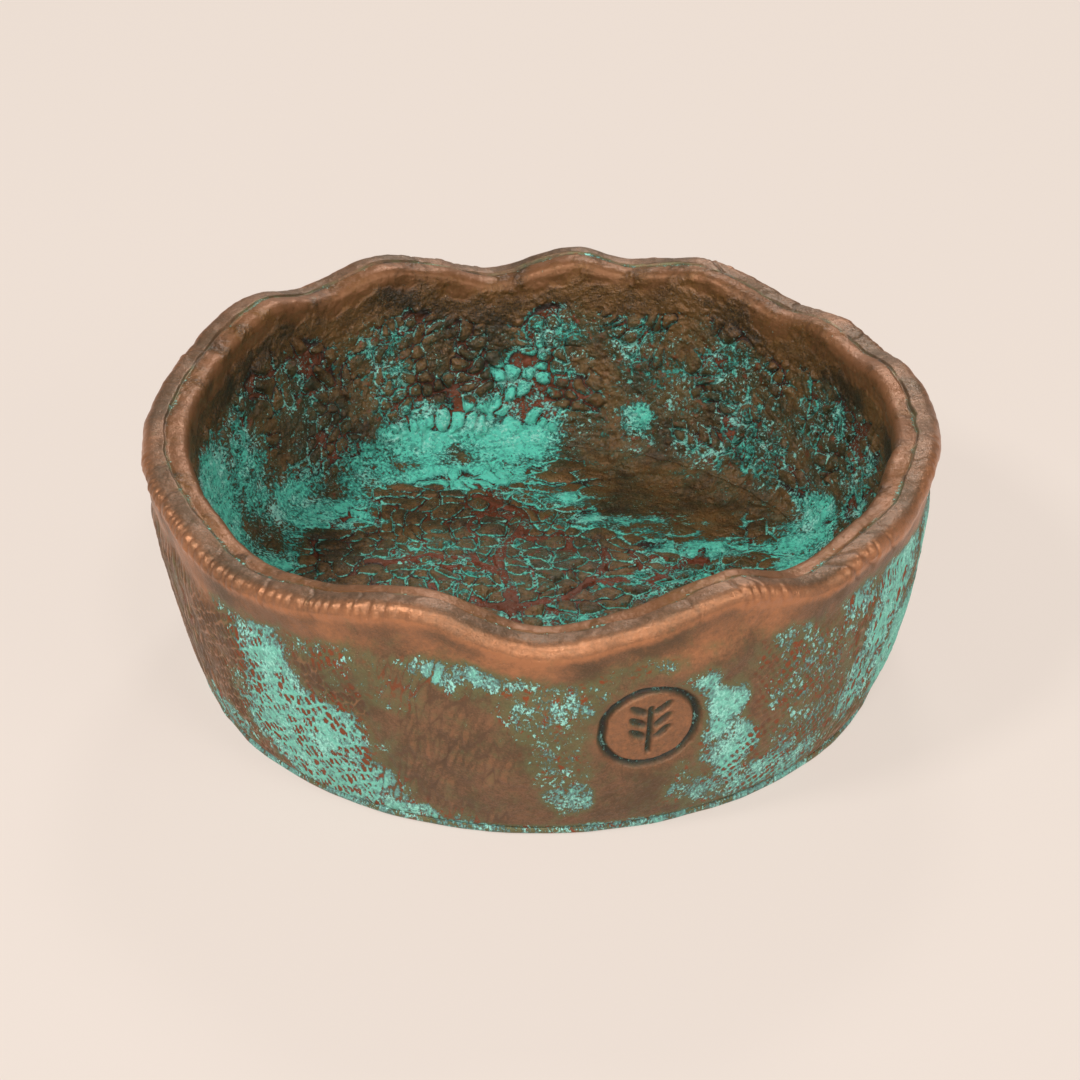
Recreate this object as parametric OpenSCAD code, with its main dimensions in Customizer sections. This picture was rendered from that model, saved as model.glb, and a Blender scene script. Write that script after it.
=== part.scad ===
// Slab-built bowl with a copper finish: two wall slabs pinched together along a wavy rim,
// standing on a thin round base disc, with a thicker floor disc laid inside.
// Origin at the middle of the underside, +Z up. The front, with the deepest dip of the
// rim, faces -Y. All sizes are in millimetres.

/* [Bowl] */
// Outside diameter across the lip
rim_d = 130; // [115:1:160]
// Mean height of the rim above the underside
rim_h = 42; // [34:1:54]
// Strength of the waves of the rim, where 1 is the bowl as made
rim_wave = 1; // [0:0.1:1.2]
// Outside diameter of the foot
foot_d = 116.6; // [104:0.2:126]
// How far the wall swells on its fuller side
belly = 1.6; // [0:0.1:2]

/* [Slabs] */
// Thickness of each of the two wall slabs
leaf_t = 3.7; // [3:0.1:4.4]
// Thickness of the base disc
base_t = 1.6; // [1.2:0.1:3]
// Thickness of the floor disc
floor_t = 4.4; // [3:0.1:6]
// Depth of the groove between the two slabs along the rim
groove = 1.1; // [0.4:0.1:1.6]
// Radius of the rounded edge under the foot
foot_round = 0.9; // [0.3:0.1:1]

/* [Tree on the floor] */
// Height of the raised trunk and boughs
tree_rise = 0.6; // [0.3:0.1:1]
// Width of the trunk
trunk_w = 3.2; // [2:0.1:4]

/* [Hidden] */

$fn = 96;
COPPER = "#9c6b4f";
DARK_COPPER = "#6b5138";
PATINA = "#4fae9a";

// Crests and dips of the rim: [direction in degrees, rise above the mean height]
RIM = [
    [2, 0], [14, 0.5], [24, -1], [34, 0], [45, -1.5], [60, 1.5], [75, -1],
    [84, 0.5], [98, -3.5], [108, -0.5], [119, 2], [132, 0], [144, 3], [160, 0.5],
    [176, -0.5], [192, 0], [208, -1], [221, -3], [236, -1.5], [254, 2], [269, -3],
    [282, -1], [297, 2.5], [310, -1.5], [321, -0.5], [333, -0.5], [346, 2]
];
// The trunk and boughs: [start, end, share of the trunk's width]
BOUGHS = [
    [[-2, -14], [-3, -2], 1], [[-3, -2], [-8, 8], 0.7], [[-8, 8], [-3, 20], 0.5],
    [[-3, 20], [-6, 30], 0.4], [[-8, 8], [-20, 14], 0.45], [[-20, 14], [-30, 12], 0.35],
    [[-3, -2], [8, 6], 0.6], [[8, 6], [20, 8], 0.45], [[20, 8], [27, 18], 0.35],
    [[8, 6], [12, 18], 0.4], [[-3, -2], [-18, -4], 0.45], [[-18, -4], [-30, -8], 0.35]
];

columns = 96;
wall_steps = 10;
lip_steps = 6;
rim_r = rim_d / 2;
foot_r = foot_d / 2;
lip_r = leaf_t / 2;
floor_z = base_t + floor_t;
floor_r = foot_r - 2 * leaf_t - 0.6;
// Direction of the wall's fuller side
belly_at = 340;
// Higher powers keep the outside rounder at the foot and the cove tighter inside
outside_curve = 1.6;
cove_curve = 2.6;
// The wall slab tucks in a little where it stands on the base disc
tuck = 0.4;
// Width of a bough between its round ends, as a share of theirs
rib_waist = 0.9;
// Depth to which the boughs are rooted in the floor disc
rib_root = 1;

// Place i of the rim list, counted on round the bowl
function rim_at(i) = let (n = len(RIM), turn = floor(i / n))
    [RIM[i - turn * n][0] + 360 * turn, RIM[i - turn * n][1]];
// Last crest or dip at or before the direction a
function rim_before(a) = len([for (p = RIM) if (p[0] <= a) 1]) - 1;
// Slope of the rim at place i
function rim_slope(i) = let (p = rim_at(i - 1), q = rim_at(i + 1)) (q[1] - p[1]) / (q[0] - p[0]);
// Smooth curve through the crests and dips
function rim_rise(a) =
    let (i = rim_before(a), p = rim_at(i), q = rim_at(i + 1), w = q[0] - p[0], t = (a - p[0]) / w)
    p[1] * (2 * t ^ 3 - 3 * t ^ 2 + 1) + q[1] * (3 * t ^ 2 - 2 * t ^ 3)
    + rim_slope(i) * w * (t ^ 3 - 2 * t ^ 2 + t) + rim_slope(i + 1) * w * (t ^ 3 - t ^ 2);
function rim_top(a) = rim_h + rim_wave * rim_rise(a);

// Swelling of the wall at height share t in the direction a
function swell(a, t) = belly * (1 + cos(a - belly_at)) / 2 * sin(180 * t) * (1 - t) ^ 2;
// Height at share t between the base disc and the lip
function wall_z(a, t) = base_t + (rim_top(a) - lip_r - base_t) * t;
// Outside of the wall, from the foot (t = 0) to the lip (t = 1)
function outside(a, t) =
    [foot_r + (rim_r - foot_r) * (1 - (1 - t) ^ outside_curve) + swell(a, t), wall_z(a, t)];
// Meeting face of the two slabs
function between(a, t) = outside(a, t) - [leaf_t, 0];
// Inside of the wall, with a cove that runs out onto the floor
function inside(a, t) =
    [floor_r + (rim_r - 2 * leaf_t - floor_r) * (1 - (1 - t) ^ cove_curve),
     floor_z + (rim_top(a) - lip_r - floor_z) * t];
// Rounded top of a slab whose middle is at radius r, cut off at the groove
function lip(a, r, from, to) =
    [for (k = [0:lip_steps]) let (b = from + (to - from) * k / lip_steps)
        [r + lip_r * cos(b), rim_top(a) - lip_r + lip_r * sin(b)]];
// Angle of the rounded top at which it meets the groove
groove_at = asin((lip_r - groove) / lip_r);

// Outlines of the two slabs at the direction a, as [radius, height]
function outer_outline(a) = concat(
    [outside(a, 0) - [tuck, 0]],
    [for (k = [0:wall_steps - 1]) outside(a, k == 0 ? 0.4 / wall_steps : k / wall_steps)],
    lip(a, rim_r - lip_r, 0, 180 - groove_at),
    [for (k = [wall_steps:-1:0]) between(a, k / wall_steps)]);
function inner_outline(a) = concat(
    [for (k = [0:wall_steps]) between(a, k / wall_steps)],
    lip(a, rim_r - 3 * lip_r, groove_at, 180),
    [for (k = [wall_steps - 1:-1:0]) inside(a, k / wall_steps)],
    [[floor_r, base_t]]);

// Closed ring through one outline in each column. The radius grows by the polygon's own
// factor, so that its flats, and not its corners, touch the round discs.
module ring(outlines, turned) {
    n = len(outlines[0]);
    grow = 1 / cos(180 / columns);
    points = [for (i = [0:columns - 1]) for (p = outlines[i])
        [p[0] * grow * cos(i * 360 / columns), p[0] * grow * sin(i * 360 / columns), p[1]]];
    faces = [for (i = [0:columns - 1]) for (k = [0:n - 1]) for (half = [0, 1])
        let (j = (i + 1) % columns, m = (k + 1) % n)
        let (a = i * n + k, b = j * n + k, c = j * n + m, d = i * n + m)
        turned ? (half == 0 ? [a, d, b] : [b, d, c]) : (half == 0 ? [a, c, b] : [a, d, c])];
    polyhedron(points, faces, convexity = 6);
}

module outer_wall() {
    color(COPPER)
        ring([for (i = [0:columns - 1]) outer_outline(i * 360 / columns)], false);
}

module inner_wall() {
    color(DARK_COPPER)
        ring([for (i = [0:columns - 1]) inner_outline(i * 360 / columns)], true);
}

module base_disc() {
    color(COPPER)
        rotate_extrude()
            union() {
                square([foot_r - foot_round, base_t]);
                translate([0, foot_round])
                    square([foot_r, base_t - foot_round]);
                translate([foot_r - foot_round, foot_round])
                    circle(foot_round);
            }
}

// Raised rib from one place on the floor to another, a little narrower than its round ends
module rib(from, to, width) {
    run = to - from;
    translate(from)
        rotate(atan2(run[1], run[0]))
            translate([0, -rib_waist * width / 2])
                square([norm(run), rib_waist * width]);
    for (p = [from, to])
        translate(p)
            circle(width / 2);
}

module floor_disc() {
    color(PATINA)
        union() {
            translate([0, 0, base_t])
                cylinder(r = floor_r, h = floor_t);
            translate([0, 0, floor_z - rib_root])
                linear_extrude(tree_rise + rib_root)
                    for (b = BOUGHS)
                        rib(b[0], b[1], trunk_w * b[2]);
        }
}

outer_wall();
inner_wall();
base_disc();
floor_disc();
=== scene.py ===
"""Hand-built copper bowl: two wall slabs pinched together along a wavy rim, on two discs.

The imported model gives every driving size. This script lays the fine relief of cloth,
pebbles and tree over those four slabs and dresses them in aged copper and verdigris.
Sizes in the classes are in millimetres, and meshes are made in metres.
"""
import logging
import math
from dataclasses import dataclass, field, replace
from enum import Enum, IntEnum
from typing import Union

import bpy
import numpy as np
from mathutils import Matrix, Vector


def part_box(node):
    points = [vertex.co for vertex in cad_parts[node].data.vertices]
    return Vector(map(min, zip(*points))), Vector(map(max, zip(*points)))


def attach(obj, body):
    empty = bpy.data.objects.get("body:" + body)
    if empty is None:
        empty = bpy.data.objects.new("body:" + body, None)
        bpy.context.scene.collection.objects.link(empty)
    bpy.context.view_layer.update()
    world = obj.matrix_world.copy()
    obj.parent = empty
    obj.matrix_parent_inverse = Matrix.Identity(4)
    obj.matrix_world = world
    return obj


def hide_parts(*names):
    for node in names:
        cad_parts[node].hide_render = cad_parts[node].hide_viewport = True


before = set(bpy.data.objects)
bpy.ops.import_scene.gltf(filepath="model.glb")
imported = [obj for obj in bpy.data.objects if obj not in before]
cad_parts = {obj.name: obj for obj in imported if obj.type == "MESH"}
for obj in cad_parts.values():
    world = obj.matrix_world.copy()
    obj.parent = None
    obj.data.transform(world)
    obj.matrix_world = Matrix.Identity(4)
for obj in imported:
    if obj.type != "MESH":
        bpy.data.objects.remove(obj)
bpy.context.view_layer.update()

log = logging.getLogger("bowl")

Array = np.ndarray
Socket = bpy.types.NodeSocket
Value = Union[float, Socket]
Colour = tuple[float, float, float]

MM = 0.001


class Knuckles(Enum):
    """Which way the knuckles of a cloth panel lie in the wall."""

    SUNK = "pressed in, with threads between them"
    PROUD = "left standing, with creases between them"


class Noise(IntEnum):
    """Seeds of the noise fields, one for each effect on the bowl."""

    HAND = 3
    CLOTH = 5
    DENTS = 6
    CLOUD_EDGE_ROUND = 11
    CLOUD_EDGE_UP = 12
    FOOT_PATINA = 14
    STAMP_ACROSS = 17
    STAMP_UP = 18
    OUTER_PINCH = 21
    INNER_PINCH = 22
    BEADS = 25
    BEADS_FADING = 26
    BASE_EDGE = 33
    BASE_PATINA = 34
    SEAM_PATH = 41
    SEAM_OPENING = 42
    SEAM_DIRT = 43
    SEAM_SPECKS = 44
    COVE_LUMPS = 51
    COVE_WRINKLES = 52
    LIP_WEAR = 61
    INNER_LIP_EDGE = 62
    INNER_LIP_WEAR = 63
    PEBBLE_EDGE = 81
    BOUGH_BEND_X = 91
    BOUGH_BEND_Y = 92
    TREE_EDGE = 95
    STREAKS = 97
    FLOOR_EDGE_X = 98
    FLOOR_EDGE_Y = 99
    THREADS = 130


# ---------------------------------------------------------------- noise and small sums


def smooth_step(value: Array, low: float, high: float) -> Array:
    """Eases from 0 to 1 while value goes from low to high.

    Args:
        value: Numbers to ease.
        low: Where the result leaves 0.
        high: Where the result reaches 1.

    Returns:
        Shares from 0 to 1.
    """
    share = np.clip((value - low) / (high - low), 0.0, 1.0)
    return share * share * (3.0 - 2.0 * share)


def bell(value: Array, width: float) -> Array:
    """Returns a round hill of height 1 at value 0 that has sunk away at about width."""
    return np.exp(-((value / width) ** 2) * 2.0)


def turn_gap(angle: Array, centre: float) -> Array:
    """Returns the signed gap in degrees, from -180 to 180, between angle and centre."""
    return (angle - centre + 180.0) % 360.0 - 180.0


@dataclass(frozen=True)
class Grain:
    """Smooth repeatable noise through space."""

    seed: int

    def lattice(self, x: Array, y: Array, z: Array) -> Array:
        """Gives each whole-number place a fixed number.

        Args:
            x: Whole numbers.
            y: Whole numbers.
            z: Whole numbers.

        Returns:
            Numbers from 0 to 1.
        """
        mixed = x * 374761393 + y * 668265263 + z * 144269504 + self.seed * 974634777
        mixed = mixed & 0xFFFFFFFF
        mixed = ((mixed ^ (mixed >> 13)) * 1274126177) & 0xFFFFFFFF
        return (mixed ^ (mixed >> 16)) / float(0xFFFFFFFF)

    def smooth(self, place: Array, size: float) -> Array:
        """Gives one layer of smooth noise.

        Args:
            place: Points in space, with the coordinates along the last axis.
            size: Width of one hill, in the units of place.

        Returns:
            Numbers from -1 to 1.
        """
        scaled = place / size
        base = np.floor(scaled).astype(np.int64)
        part = scaled - base
        ease = part * part * (3.0 - 2.0 * part)
        total = np.zeros(place.shape[:-1])
        for corner in range(8):
            dx, dy, dz = corner & 1, (corner >> 1) & 1, corner >> 2
            wx = ease[..., 0] if dx else 1.0 - ease[..., 0]
            wy = ease[..., 1] if dy else 1.0 - ease[..., 1]
            wz = ease[..., 2] if dz else 1.0 - ease[..., 2]
            pick = self.lattice(base[..., 0] + dx, base[..., 1] + dy, base[..., 2] + dz)
            total += pick * wx * wy * wz
        return 2.0 * total - 1.0

    def layered(self, place: Array, size: float, layers: int = 4, fall: float = 0.55) -> Array:
        """Adds finer and weaker layers of smooth noise.

        Args:
            place: Points in space.
            size: Width of a hill of the coarsest layer.
            layers: Number of layers.
            fall: Strength of each layer as a share of the one before.

        Returns:
            Numbers from about -1 to 1.
        """
        total = np.zeros(place.shape[:-1])
        strength, weight = 1.0, 0.0
        for layer in range(layers):
            shifted = place + 31.7 * layer
            total += strength * self.smooth(shifted, size / 2.0**layer)
            weight += strength
            strength *= fall
        return total / weight * 1.5

    def cells(self, across: Array, up: Array, wrap: int = 0,
              jitter: float = 0.7) -> tuple[Array, Array, Array]:
        """Splits a flat surface into irregular cells round scattered seeds.

        Args:
            across: Places across the surface, in cell widths.
            up: Places up the surface, in cell widths.
            wrap: Number of cells after which the surface closes on itself, or 0.
            jitter: How far each seed may lie from the middle of its cell.

        Returns:
            Distance to the nearest seed, to the next nearest, and the nearest seed's
            own fixed number from 0 to 1.
        """
        column = np.floor(across).astype(np.int64)
        row = np.floor(up).astype(np.int64)
        nearest = np.full(across.shape, 9.0)
        second = np.full(across.shape, 9.0)
        own = np.zeros(across.shape)
        for step_across in (-1, 0, 1):
            for step_up in (-1, 0, 1):
                i, j = column + step_across, row + step_up
                key = i % wrap if wrap else i
                seed_across = i + 0.5 + jitter * (self.lattice(key, j, j * 0 + 11) - 0.5)
                seed_up = j + 0.5 + jitter * (self.lattice(key, j, j * 0 + 23) - 0.5)
                gap = np.hypot(across - seed_across, up - seed_up)
                closer = gap < nearest
                second = np.where(closer, nearest, np.minimum(second, gap))
                own = np.where(closer, self.lattice(key, j, j * 0 + 37), own)
                nearest = np.where(closer, gap, nearest)
        return nearest, second, own


# ---------------------------------------------------------------- the shape of the bowl


@dataclass
class Run:
    """One stretch of a slab's outline: a row for each direction, a column for each step."""

    radius: Array
    height: Array
    skin: Union[Array, float] = 0.0
    lip: Union[Array, float] = 0.0

    def reversed(self) -> "Run":
        """Gives the same stretch from its other end."""
        parts = np.broadcast_arrays(self.radius, self.height, self.skin, self.lip)
        return Run(*(part[:, ::-1] for part in parts))


@dataclass
class Sheet:
    """A closed outline carried round the bowl, with the marks that the relief needs."""

    angle: Array
    radius: Array
    height: Array
    skin: Array
    lip: Array

    @classmethod
    def joined(cls, angle: Array, runs: list[Run]) -> "Sheet":
        """Joins stretches into one outline.

        Args:
            angle: Directions in degrees, one row each.
            runs: The stretches in order.

        Returns:
            The closed outline in every direction.
        """
        rows = [np.broadcast_arrays(r.radius, r.height, r.skin, r.lip, angle)[:4] for r in runs]
        return cls(angle, *(np.concatenate(parts, 1) for parts in zip(*rows)))

    def normals(self) -> tuple[Array, Array]:
        """Gives the outward direction of the outline at each point, as radius and height."""
        run = np.roll(self.radius, -1, 1) - np.roll(self.radius, 1, 1)
        climb = np.roll(self.height, -1, 1) - np.roll(self.height, 1, 1)
        length = np.maximum(np.hypot(run, climb), 1e-6)
        return climb / length, -run / length

    def push(self, lift: Array, joint: int = -1, joint_slope: float = 0.0) -> None:
        """Moves the surface outward by lift, where it shows.

        Args:
            lift: Distance for each point.
            joint: Column of a point where another piece carries the surface on, or -1.
            joint_slope: Slope in radians that both surfaces have there.
        """
        out_radius, out_height = self.normals()
        if joint >= 0:
            out_radius[:, joint] = -math.sin(joint_slope)
            out_height[:, joint] = math.cos(joint_slope)
        self.radius = self.radius + out_radius * lift * self.skin
        self.height = self.height + out_height * lift * self.skin

    def places(self) -> Array:
        """Gives each point in space, in millimetres."""
        return ring_places(self.angle, self.radius, self.height)

    def lengths_to(self, joint: int) -> Array:
        """Gives each point's distance along the outline before the point numbered joint."""
        steps = np.hypot(np.diff(self.radius, axis=1), np.diff(self.height, axis=1))
        travelled = np.concatenate([0 * steps[:, :1], np.cumsum(steps, 1)], 1)
        return travelled[:, joint:joint + 1] - travelled


def ring_places(angle: Array, radius: Array, height: Array) -> Array:
    """Gives points in space from directions in degrees, radii and heights."""
    turn = np.radians(angle)
    return np.stack(np.broadcast_arrays(radius * np.cos(turn), radius * np.sin(turn), height), -1)


@dataclass
class BowlShape:
    """Driving sizes of the bowl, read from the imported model, and its base surfaces."""

    rim_radius: float
    rim_height: float
    foot_radius: float
    base_top: float
    floor_radius: float
    floor_top: float
    slab: float = 3.7
    belly: float = 1.6
    belly_at: float = 340.0
    outside_curve: float = 1.6
    cove_curve: float = 2.6
    cove_rise: float = 2.0
    cove_reach: float = 7.0
    cove_blend: float = 2.2
    seam_depth: float = 0.06
    crown: float = 0.06
    # Crests and dips of the rim: direction in degrees, rise above the mean height
    rim: tuple[tuple[float, float], ...] = (
        (2, 0), (14, 0.5), (24, -1), (34, 0), (45, -1.5), (60, 1.5), (75, -1),
        (84, 0.5), (98, -3.5), (108, -0.5), (119, 2), (132, 0), (144, 3), (160, 0.5),
        (176, -0.5), (192, 0), (208, -1), (221, -3), (236, -1.5), (254, 2), (269, -3),
        (282, -1), (297, 2.5), (310, -1.5), (321, -0.5), (333, -0.5), (346, 2),
    )

    @classmethod
    def from_frame(cls) -> "BowlShape":
        """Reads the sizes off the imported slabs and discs."""
        low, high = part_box("outer_wall")
        _, base_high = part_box("base_disc")
        _, floor_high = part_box("floor_disc")
        top_rise = max(rise for _, rise in cls.rim)
        tree_rise = 0.6
        return cls(
            rim_radius=(high.x - low.x) / 2 / MM,
            rim_height=high.z / MM - top_rise,
            foot_radius=base_high.x / MM,
            base_top=low.z / MM,
            floor_radius=floor_high.x / MM,
            floor_top=floor_high.z / MM - tree_rise,
        )

    @property
    def lip(self) -> float:
        """Half the thickness of one slab."""
        return self.slab / 2

    def rim_top(self, angle: Array) -> Array:
        """Gives the rim's height, on a smooth curve through its crests and dips.

        Args:
            angle: Directions in degrees.

        Returns:
            Heights above the underside.
        """
        at = np.array([a for a, _ in self.rim], float)
        rise = np.array([r for _, r in self.rim], float)
        at = np.concatenate([at - 360.0, at, at + 360.0])
        rise = np.concatenate([rise, rise, rise])
        turned = np.asarray(angle) % 360.0
        i = np.searchsorted(at, turned, side="right") - 1
        width = at[i + 1] - at[i]
        t = (turned - at[i]) / width
        leaving = (rise[i + 1] - rise[i - 1]) / (at[i + 1] - at[i - 1]) * width
        arriving = (rise[i + 2] - rise[i]) / (at[i + 2] - at[i]) * width
        return (
            self.rim_height
            + rise[i] * (2 * t**3 - 3 * t**2 + 1)
            + rise[i + 1] * (3 * t**2 - 2 * t**3)
            + leaving * (t**3 - 2 * t**2 + t)
            + arriving * (t**3 - t**2)
        )

    def outside(self, angle: Array, share: Array) -> tuple[Array, Array]:
        """Gives the outside of the wall from the foot (share 0) to the lip (share 1).

        Args:
            angle: Directions in degrees.
            share: Shares of the way up.

        Returns:
            Radii and heights.
        """
        fuller = self.belly * (1 + np.cos(np.radians(angle - self.belly_at))) / 2
        swell = fuller * np.sin(np.pi * share) * (1 - share) ** 2
        spread = (self.rim_radius - self.foot_radius) * (1 - (1 - share) ** self.outside_curve)
        height = self.base_top + (self.rim_top(angle) - self.lip - self.base_top) * share
        return self.foot_radius + spread + swell, height

    def inside(self, angle: Array, share: Array) -> tuple[Array, Array]:
        """Gives the inside of the wall from the cove (share 0) to the lip (share 1).

        Args:
            angle: Directions in degrees.
            share: Shares of the way up.

        Returns:
            Radii and heights.
        """
        start = self.floor_top + self.cove_rise
        top = self.rim_top(angle) - self.lip
        height = start + (top - start) * share
        along = (height - self.floor_top) / (top - self.floor_top)
        reach = self.rim_radius - 2 * self.slab - self.floor_radius
        radius = self.floor_radius + reach * (1 - (1 - along) ** self.cove_curve)
        sag = reach * (1 - (1 - self.cove_rise / (top - self.floor_top)) ** self.cove_curve)
        fade = np.clip(1 - (height - start) / self.cove_blend, 0.0, 1.0)
        return radius - sag * fade**3, height

    def floor_height(self, radius: Array) -> Array:
        """Gives the height of the floor, which turns up into the cove at its edge."""
        run = np.clip((radius - self.floor_radius) / self.cove_reach + 1.0, 0.0, 1.0)
        return self.floor_top + self.cove_rise * run**2

    def floor_slope(self, radius: Array) -> Array:
        """Gives the slope of the floor in radians."""
        run = np.clip((radius - self.floor_radius) / self.cove_reach + 1.0, 0.0, 1.0)
        return np.arctan(2 * self.cove_rise * run / self.cove_reach)

    def seam(self, angle: Array) -> tuple[Array, Array]:
        """Places the bottom of the seam between the slabs, which wanders, opens and closes.

        Args:
            angle: Directions in degrees.

        Returns:
            Radii and heights.
        """
        place = ring_places(angle, self.rim_radius, 0.0)
        wander = 0.5 * Grain(Noise.SEAM_PATH).layered(place, 9.0, 3)
        opening = 1.0 + 1.3 * Grain(Noise.SEAM_OPENING).layered(place, 6.0, 3)
        depth = self.seam_depth * np.clip(opening, 0.1, 2.2)
        radius = self.rim_radius - self.slab + wander
        return radius, self.rim_top(angle) - self.crown - depth

    def lip_run(self, angle: Array, face: float, corner: float, steps: int) -> Run:
        """Rounds one slab's lip from its face over to the seam.

        Args:
            angle: Directions in degrees.
            face: Radius of the slab's face.
            corner: Width of the rounded corner.
            steps: Number of steps round the corner, and again across the top.

        Returns:
            The stretch from the face to the seam's bottom.
        """
        seam_radius, seam_height = self.seam(angle)
        hand = 1.0 if face < self.rim_radius - self.slab else -1.0
        width = np.abs(seam_radius - face)
        top = self.rim_top(angle)
        bend = np.linspace(0.0, np.pi / 2, steps + 1)[None, 1:-1]
        share = 1 - (1 - np.linspace(0.0, 1.0, steps + 1)[None, :]) ** 1.7
        across = np.concatenate([corner * (1 - np.cos(bend) ** 0.85) + 0 * width,
                                 corner + (width - corner) * share], 1)
        notch = (top - self.crown - seam_height) * np.exp(-(((width - across) / 0.26) ** 1.6))
        flat = np.clip((across - corner) / (width - corner), 0.0, 1.0)
        rounded = np.concatenate([1 - np.sin(bend) ** 0.85, 0 * share], 1)
        height = top - self.lip * rounded - self.crown * flat**2 - notch
        return Run(face + hand * across, height, 1 - smooth_step(width - across, 0.5, 0.1),
                   0.01 + 0.99 * across / width)

    def meeting_run(self, angle: Array, steps: int) -> Run:
        """Gives the meeting face of the slabs, from the seam's bottom to the base disc.

        Args:
            angle: Directions in degrees.
            steps: Number of points.

        Returns:
            The hidden stretch.
        """
        seam_radius, seam_height = self.seam(angle)
        share = np.linspace(1.0, 0.0, steps + 1)[None, 1:]
        radius, height = self.outside(angle, share)
        top_radius, top_height = self.outside(angle, np.ones_like(share))
        radius = radius - self.slab + (seam_radius - top_radius + self.slab) * share**4
        return Run(radius, height + (seam_height - top_height) * share**4, 0.0, 1.0)


# ---------------------------------------------------------------- making meshes


def ring_quads(columns: int, points: int) -> Array:
    """Lists the faces of a closed outline carried round in a closed ring.

    Args:
        columns: Number of directions.
        points: Number of points in the outline.

    Returns:
        Four vertex numbers for each face, facing outward.
    """
    i, k = np.meshgrid(np.arange(columns), np.arange(points), indexing="ij")
    j, m = (i + 1) % columns, (k + 1) % points
    corners = [i * points + k, j * points + k, j * points + m, i * points + m]
    return np.stack([c.ravel() for c in corners], -1)


def disc_faces(columns: int, points: int, from_top: bool) -> Array:
    """Joins the rings of a disc into faces and closes it at its two middle points.

    Args:
        columns: Number of directions.
        points: Number of rings.
        from_top: Whether the first ring lies on top of the disc and not under it.

    Returns:
        Vertex numbers: first the bands, then the first and the last ring's middles.
    """
    bands = ring_quads(columns, points).reshape(columns, points, 4)[:, :-1].reshape(-1, 4)
    middle = np.full(columns, columns * points)
    start = np.arange(columns) * points
    after = np.roll(start, -1)
    end, end_after = start + points - 1, after + points - 1
    if from_top:
        first = np.stack([middle, start, after, after], -1)
        last = np.stack([middle + 1, end_after, end, end], -1)
        return np.concatenate([bands[:, ::-1], first, last])
    first = np.stack([middle, after, start, start], -1)
    last = np.stack([middle + 1, end, end_after, end_after], -1)
    return np.concatenate([bands, first, last])


def with_middles(mark: Array) -> Array:
    """Adds a disc's two middle points to the numbers of its rings."""
    return np.concatenate([mark.ravel(), mark[0, :1], mark[0, :1]])


def make_mesh(name: str, places: Array, faces: Array, marks: dict[str, Array],
              flat: Array) -> bpy.types.Object:
    """Makes a smooth mesh object from arrays.

    Args:
        name: Name of the piece.
        places: Points in millimetres.
        faces: Vertex numbers, four to a face, where a repeated last number means three.
        marks: One number for each point, by the attribute's name.
        flat: Whether each face is flat, so that the surface beside it ends in a sharp edge.

    Returns:
        The object, linked into the scene.
    """
    counts = np.where(faces[:, 3] == faces[:, 2], 3, 4)
    keep = np.ones(faces.shape, bool)
    keep[:, 3] = counts == 4
    corners = faces[keep]
    starts = np.concatenate([[0], np.cumsum(counts)[:-1]])
    mesh = bpy.data.meshes.new(name)
    mesh.vertices.add(len(places))
    mesh.vertices.foreach_set("co", (places * MM).astype(np.float32).ravel())
    mesh.loops.add(len(corners))
    mesh.loops.foreach_set("vertex_index", corners.astype(np.int32))
    mesh.polygons.add(len(faces))
    mesh.polygons.foreach_set("loop_start", starts.astype(np.int32))
    mesh.update(calc_edges=True)
    mesh.polygons.foreach_set("use_smooth", ~flat)
    for mark, numbers in marks.items():
        layer = mesh.attributes.new(mark, "FLOAT", "POINT")
        layer.data.foreach_set("value", numbers.astype(np.float32).ravel())
    mesh.validate()
    piece = bpy.data.objects.new(name, mesh)
    bpy.context.scene.collection.objects.link(piece)
    return piece


# ---------------------------------------------------------------- relief on the surfaces


@dataclass(frozen=True)
class Patch:
    """A cloud of green patina on the wall, placed by direction and height."""

    angle: float
    height: float
    wide: float
    tall: float
    strength: float = 1.0
    lean: float = 0.0

    def field(self, angle: Array, height: Array, radius: float) -> Array:
        """Gives the strength of the cloud.

        Args:
            angle: Directions in degrees.
            height: Heights in millimetres.
            radius: Mean radius of the surface.

        Returns:
            Strengths from 0 to the cloud's own.
        """
        arc = np.radians(turn_gap(angle, self.angle)) * radius
        arc = arc - self.lean * (height - self.height)
        far = np.hypot(arc / self.wide, (height - self.height) / self.tall)
        return self.strength * (1.0 - smooth_step(far, 0.3, 1.5))


def cloud_field(patches: tuple[Patch, ...], sheet: Sheet, radius: float) -> Array:
    """Joins clouds of patina, the strongest on top, with ragged edges.

    Args:
        patches: The clouds.
        sheet: The surface that they lie on.
        radius: Mean radius of the surface.

    Returns:
        Strengths from 0 to about 1.
    """
    place = sheet.places()
    angle = sheet.angle + 2.6 * Grain(Noise.CLOUD_EDGE_ROUND).layered(place, 7.0, 3)
    height = sheet.height + 2.6 * Grain(Noise.CLOUD_EDGE_UP).layered(place, 7.0, 3)
    total = np.zeros(height.shape)
    for patch in patches:
        total = np.maximum(total, patch.field(angle, height, radius))
    return total


@dataclass(frozen=True)
class ClothPanel:
    """A stretch of the wall that was rolled on one piece of cloth."""

    start: float
    end: float
    turn: float
    strength: float
    across: float = 1.5
    along: float = 2.2
    jitter: float = 0.6
    knuckles: Knuckles = Knuckles.SUNK


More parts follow.
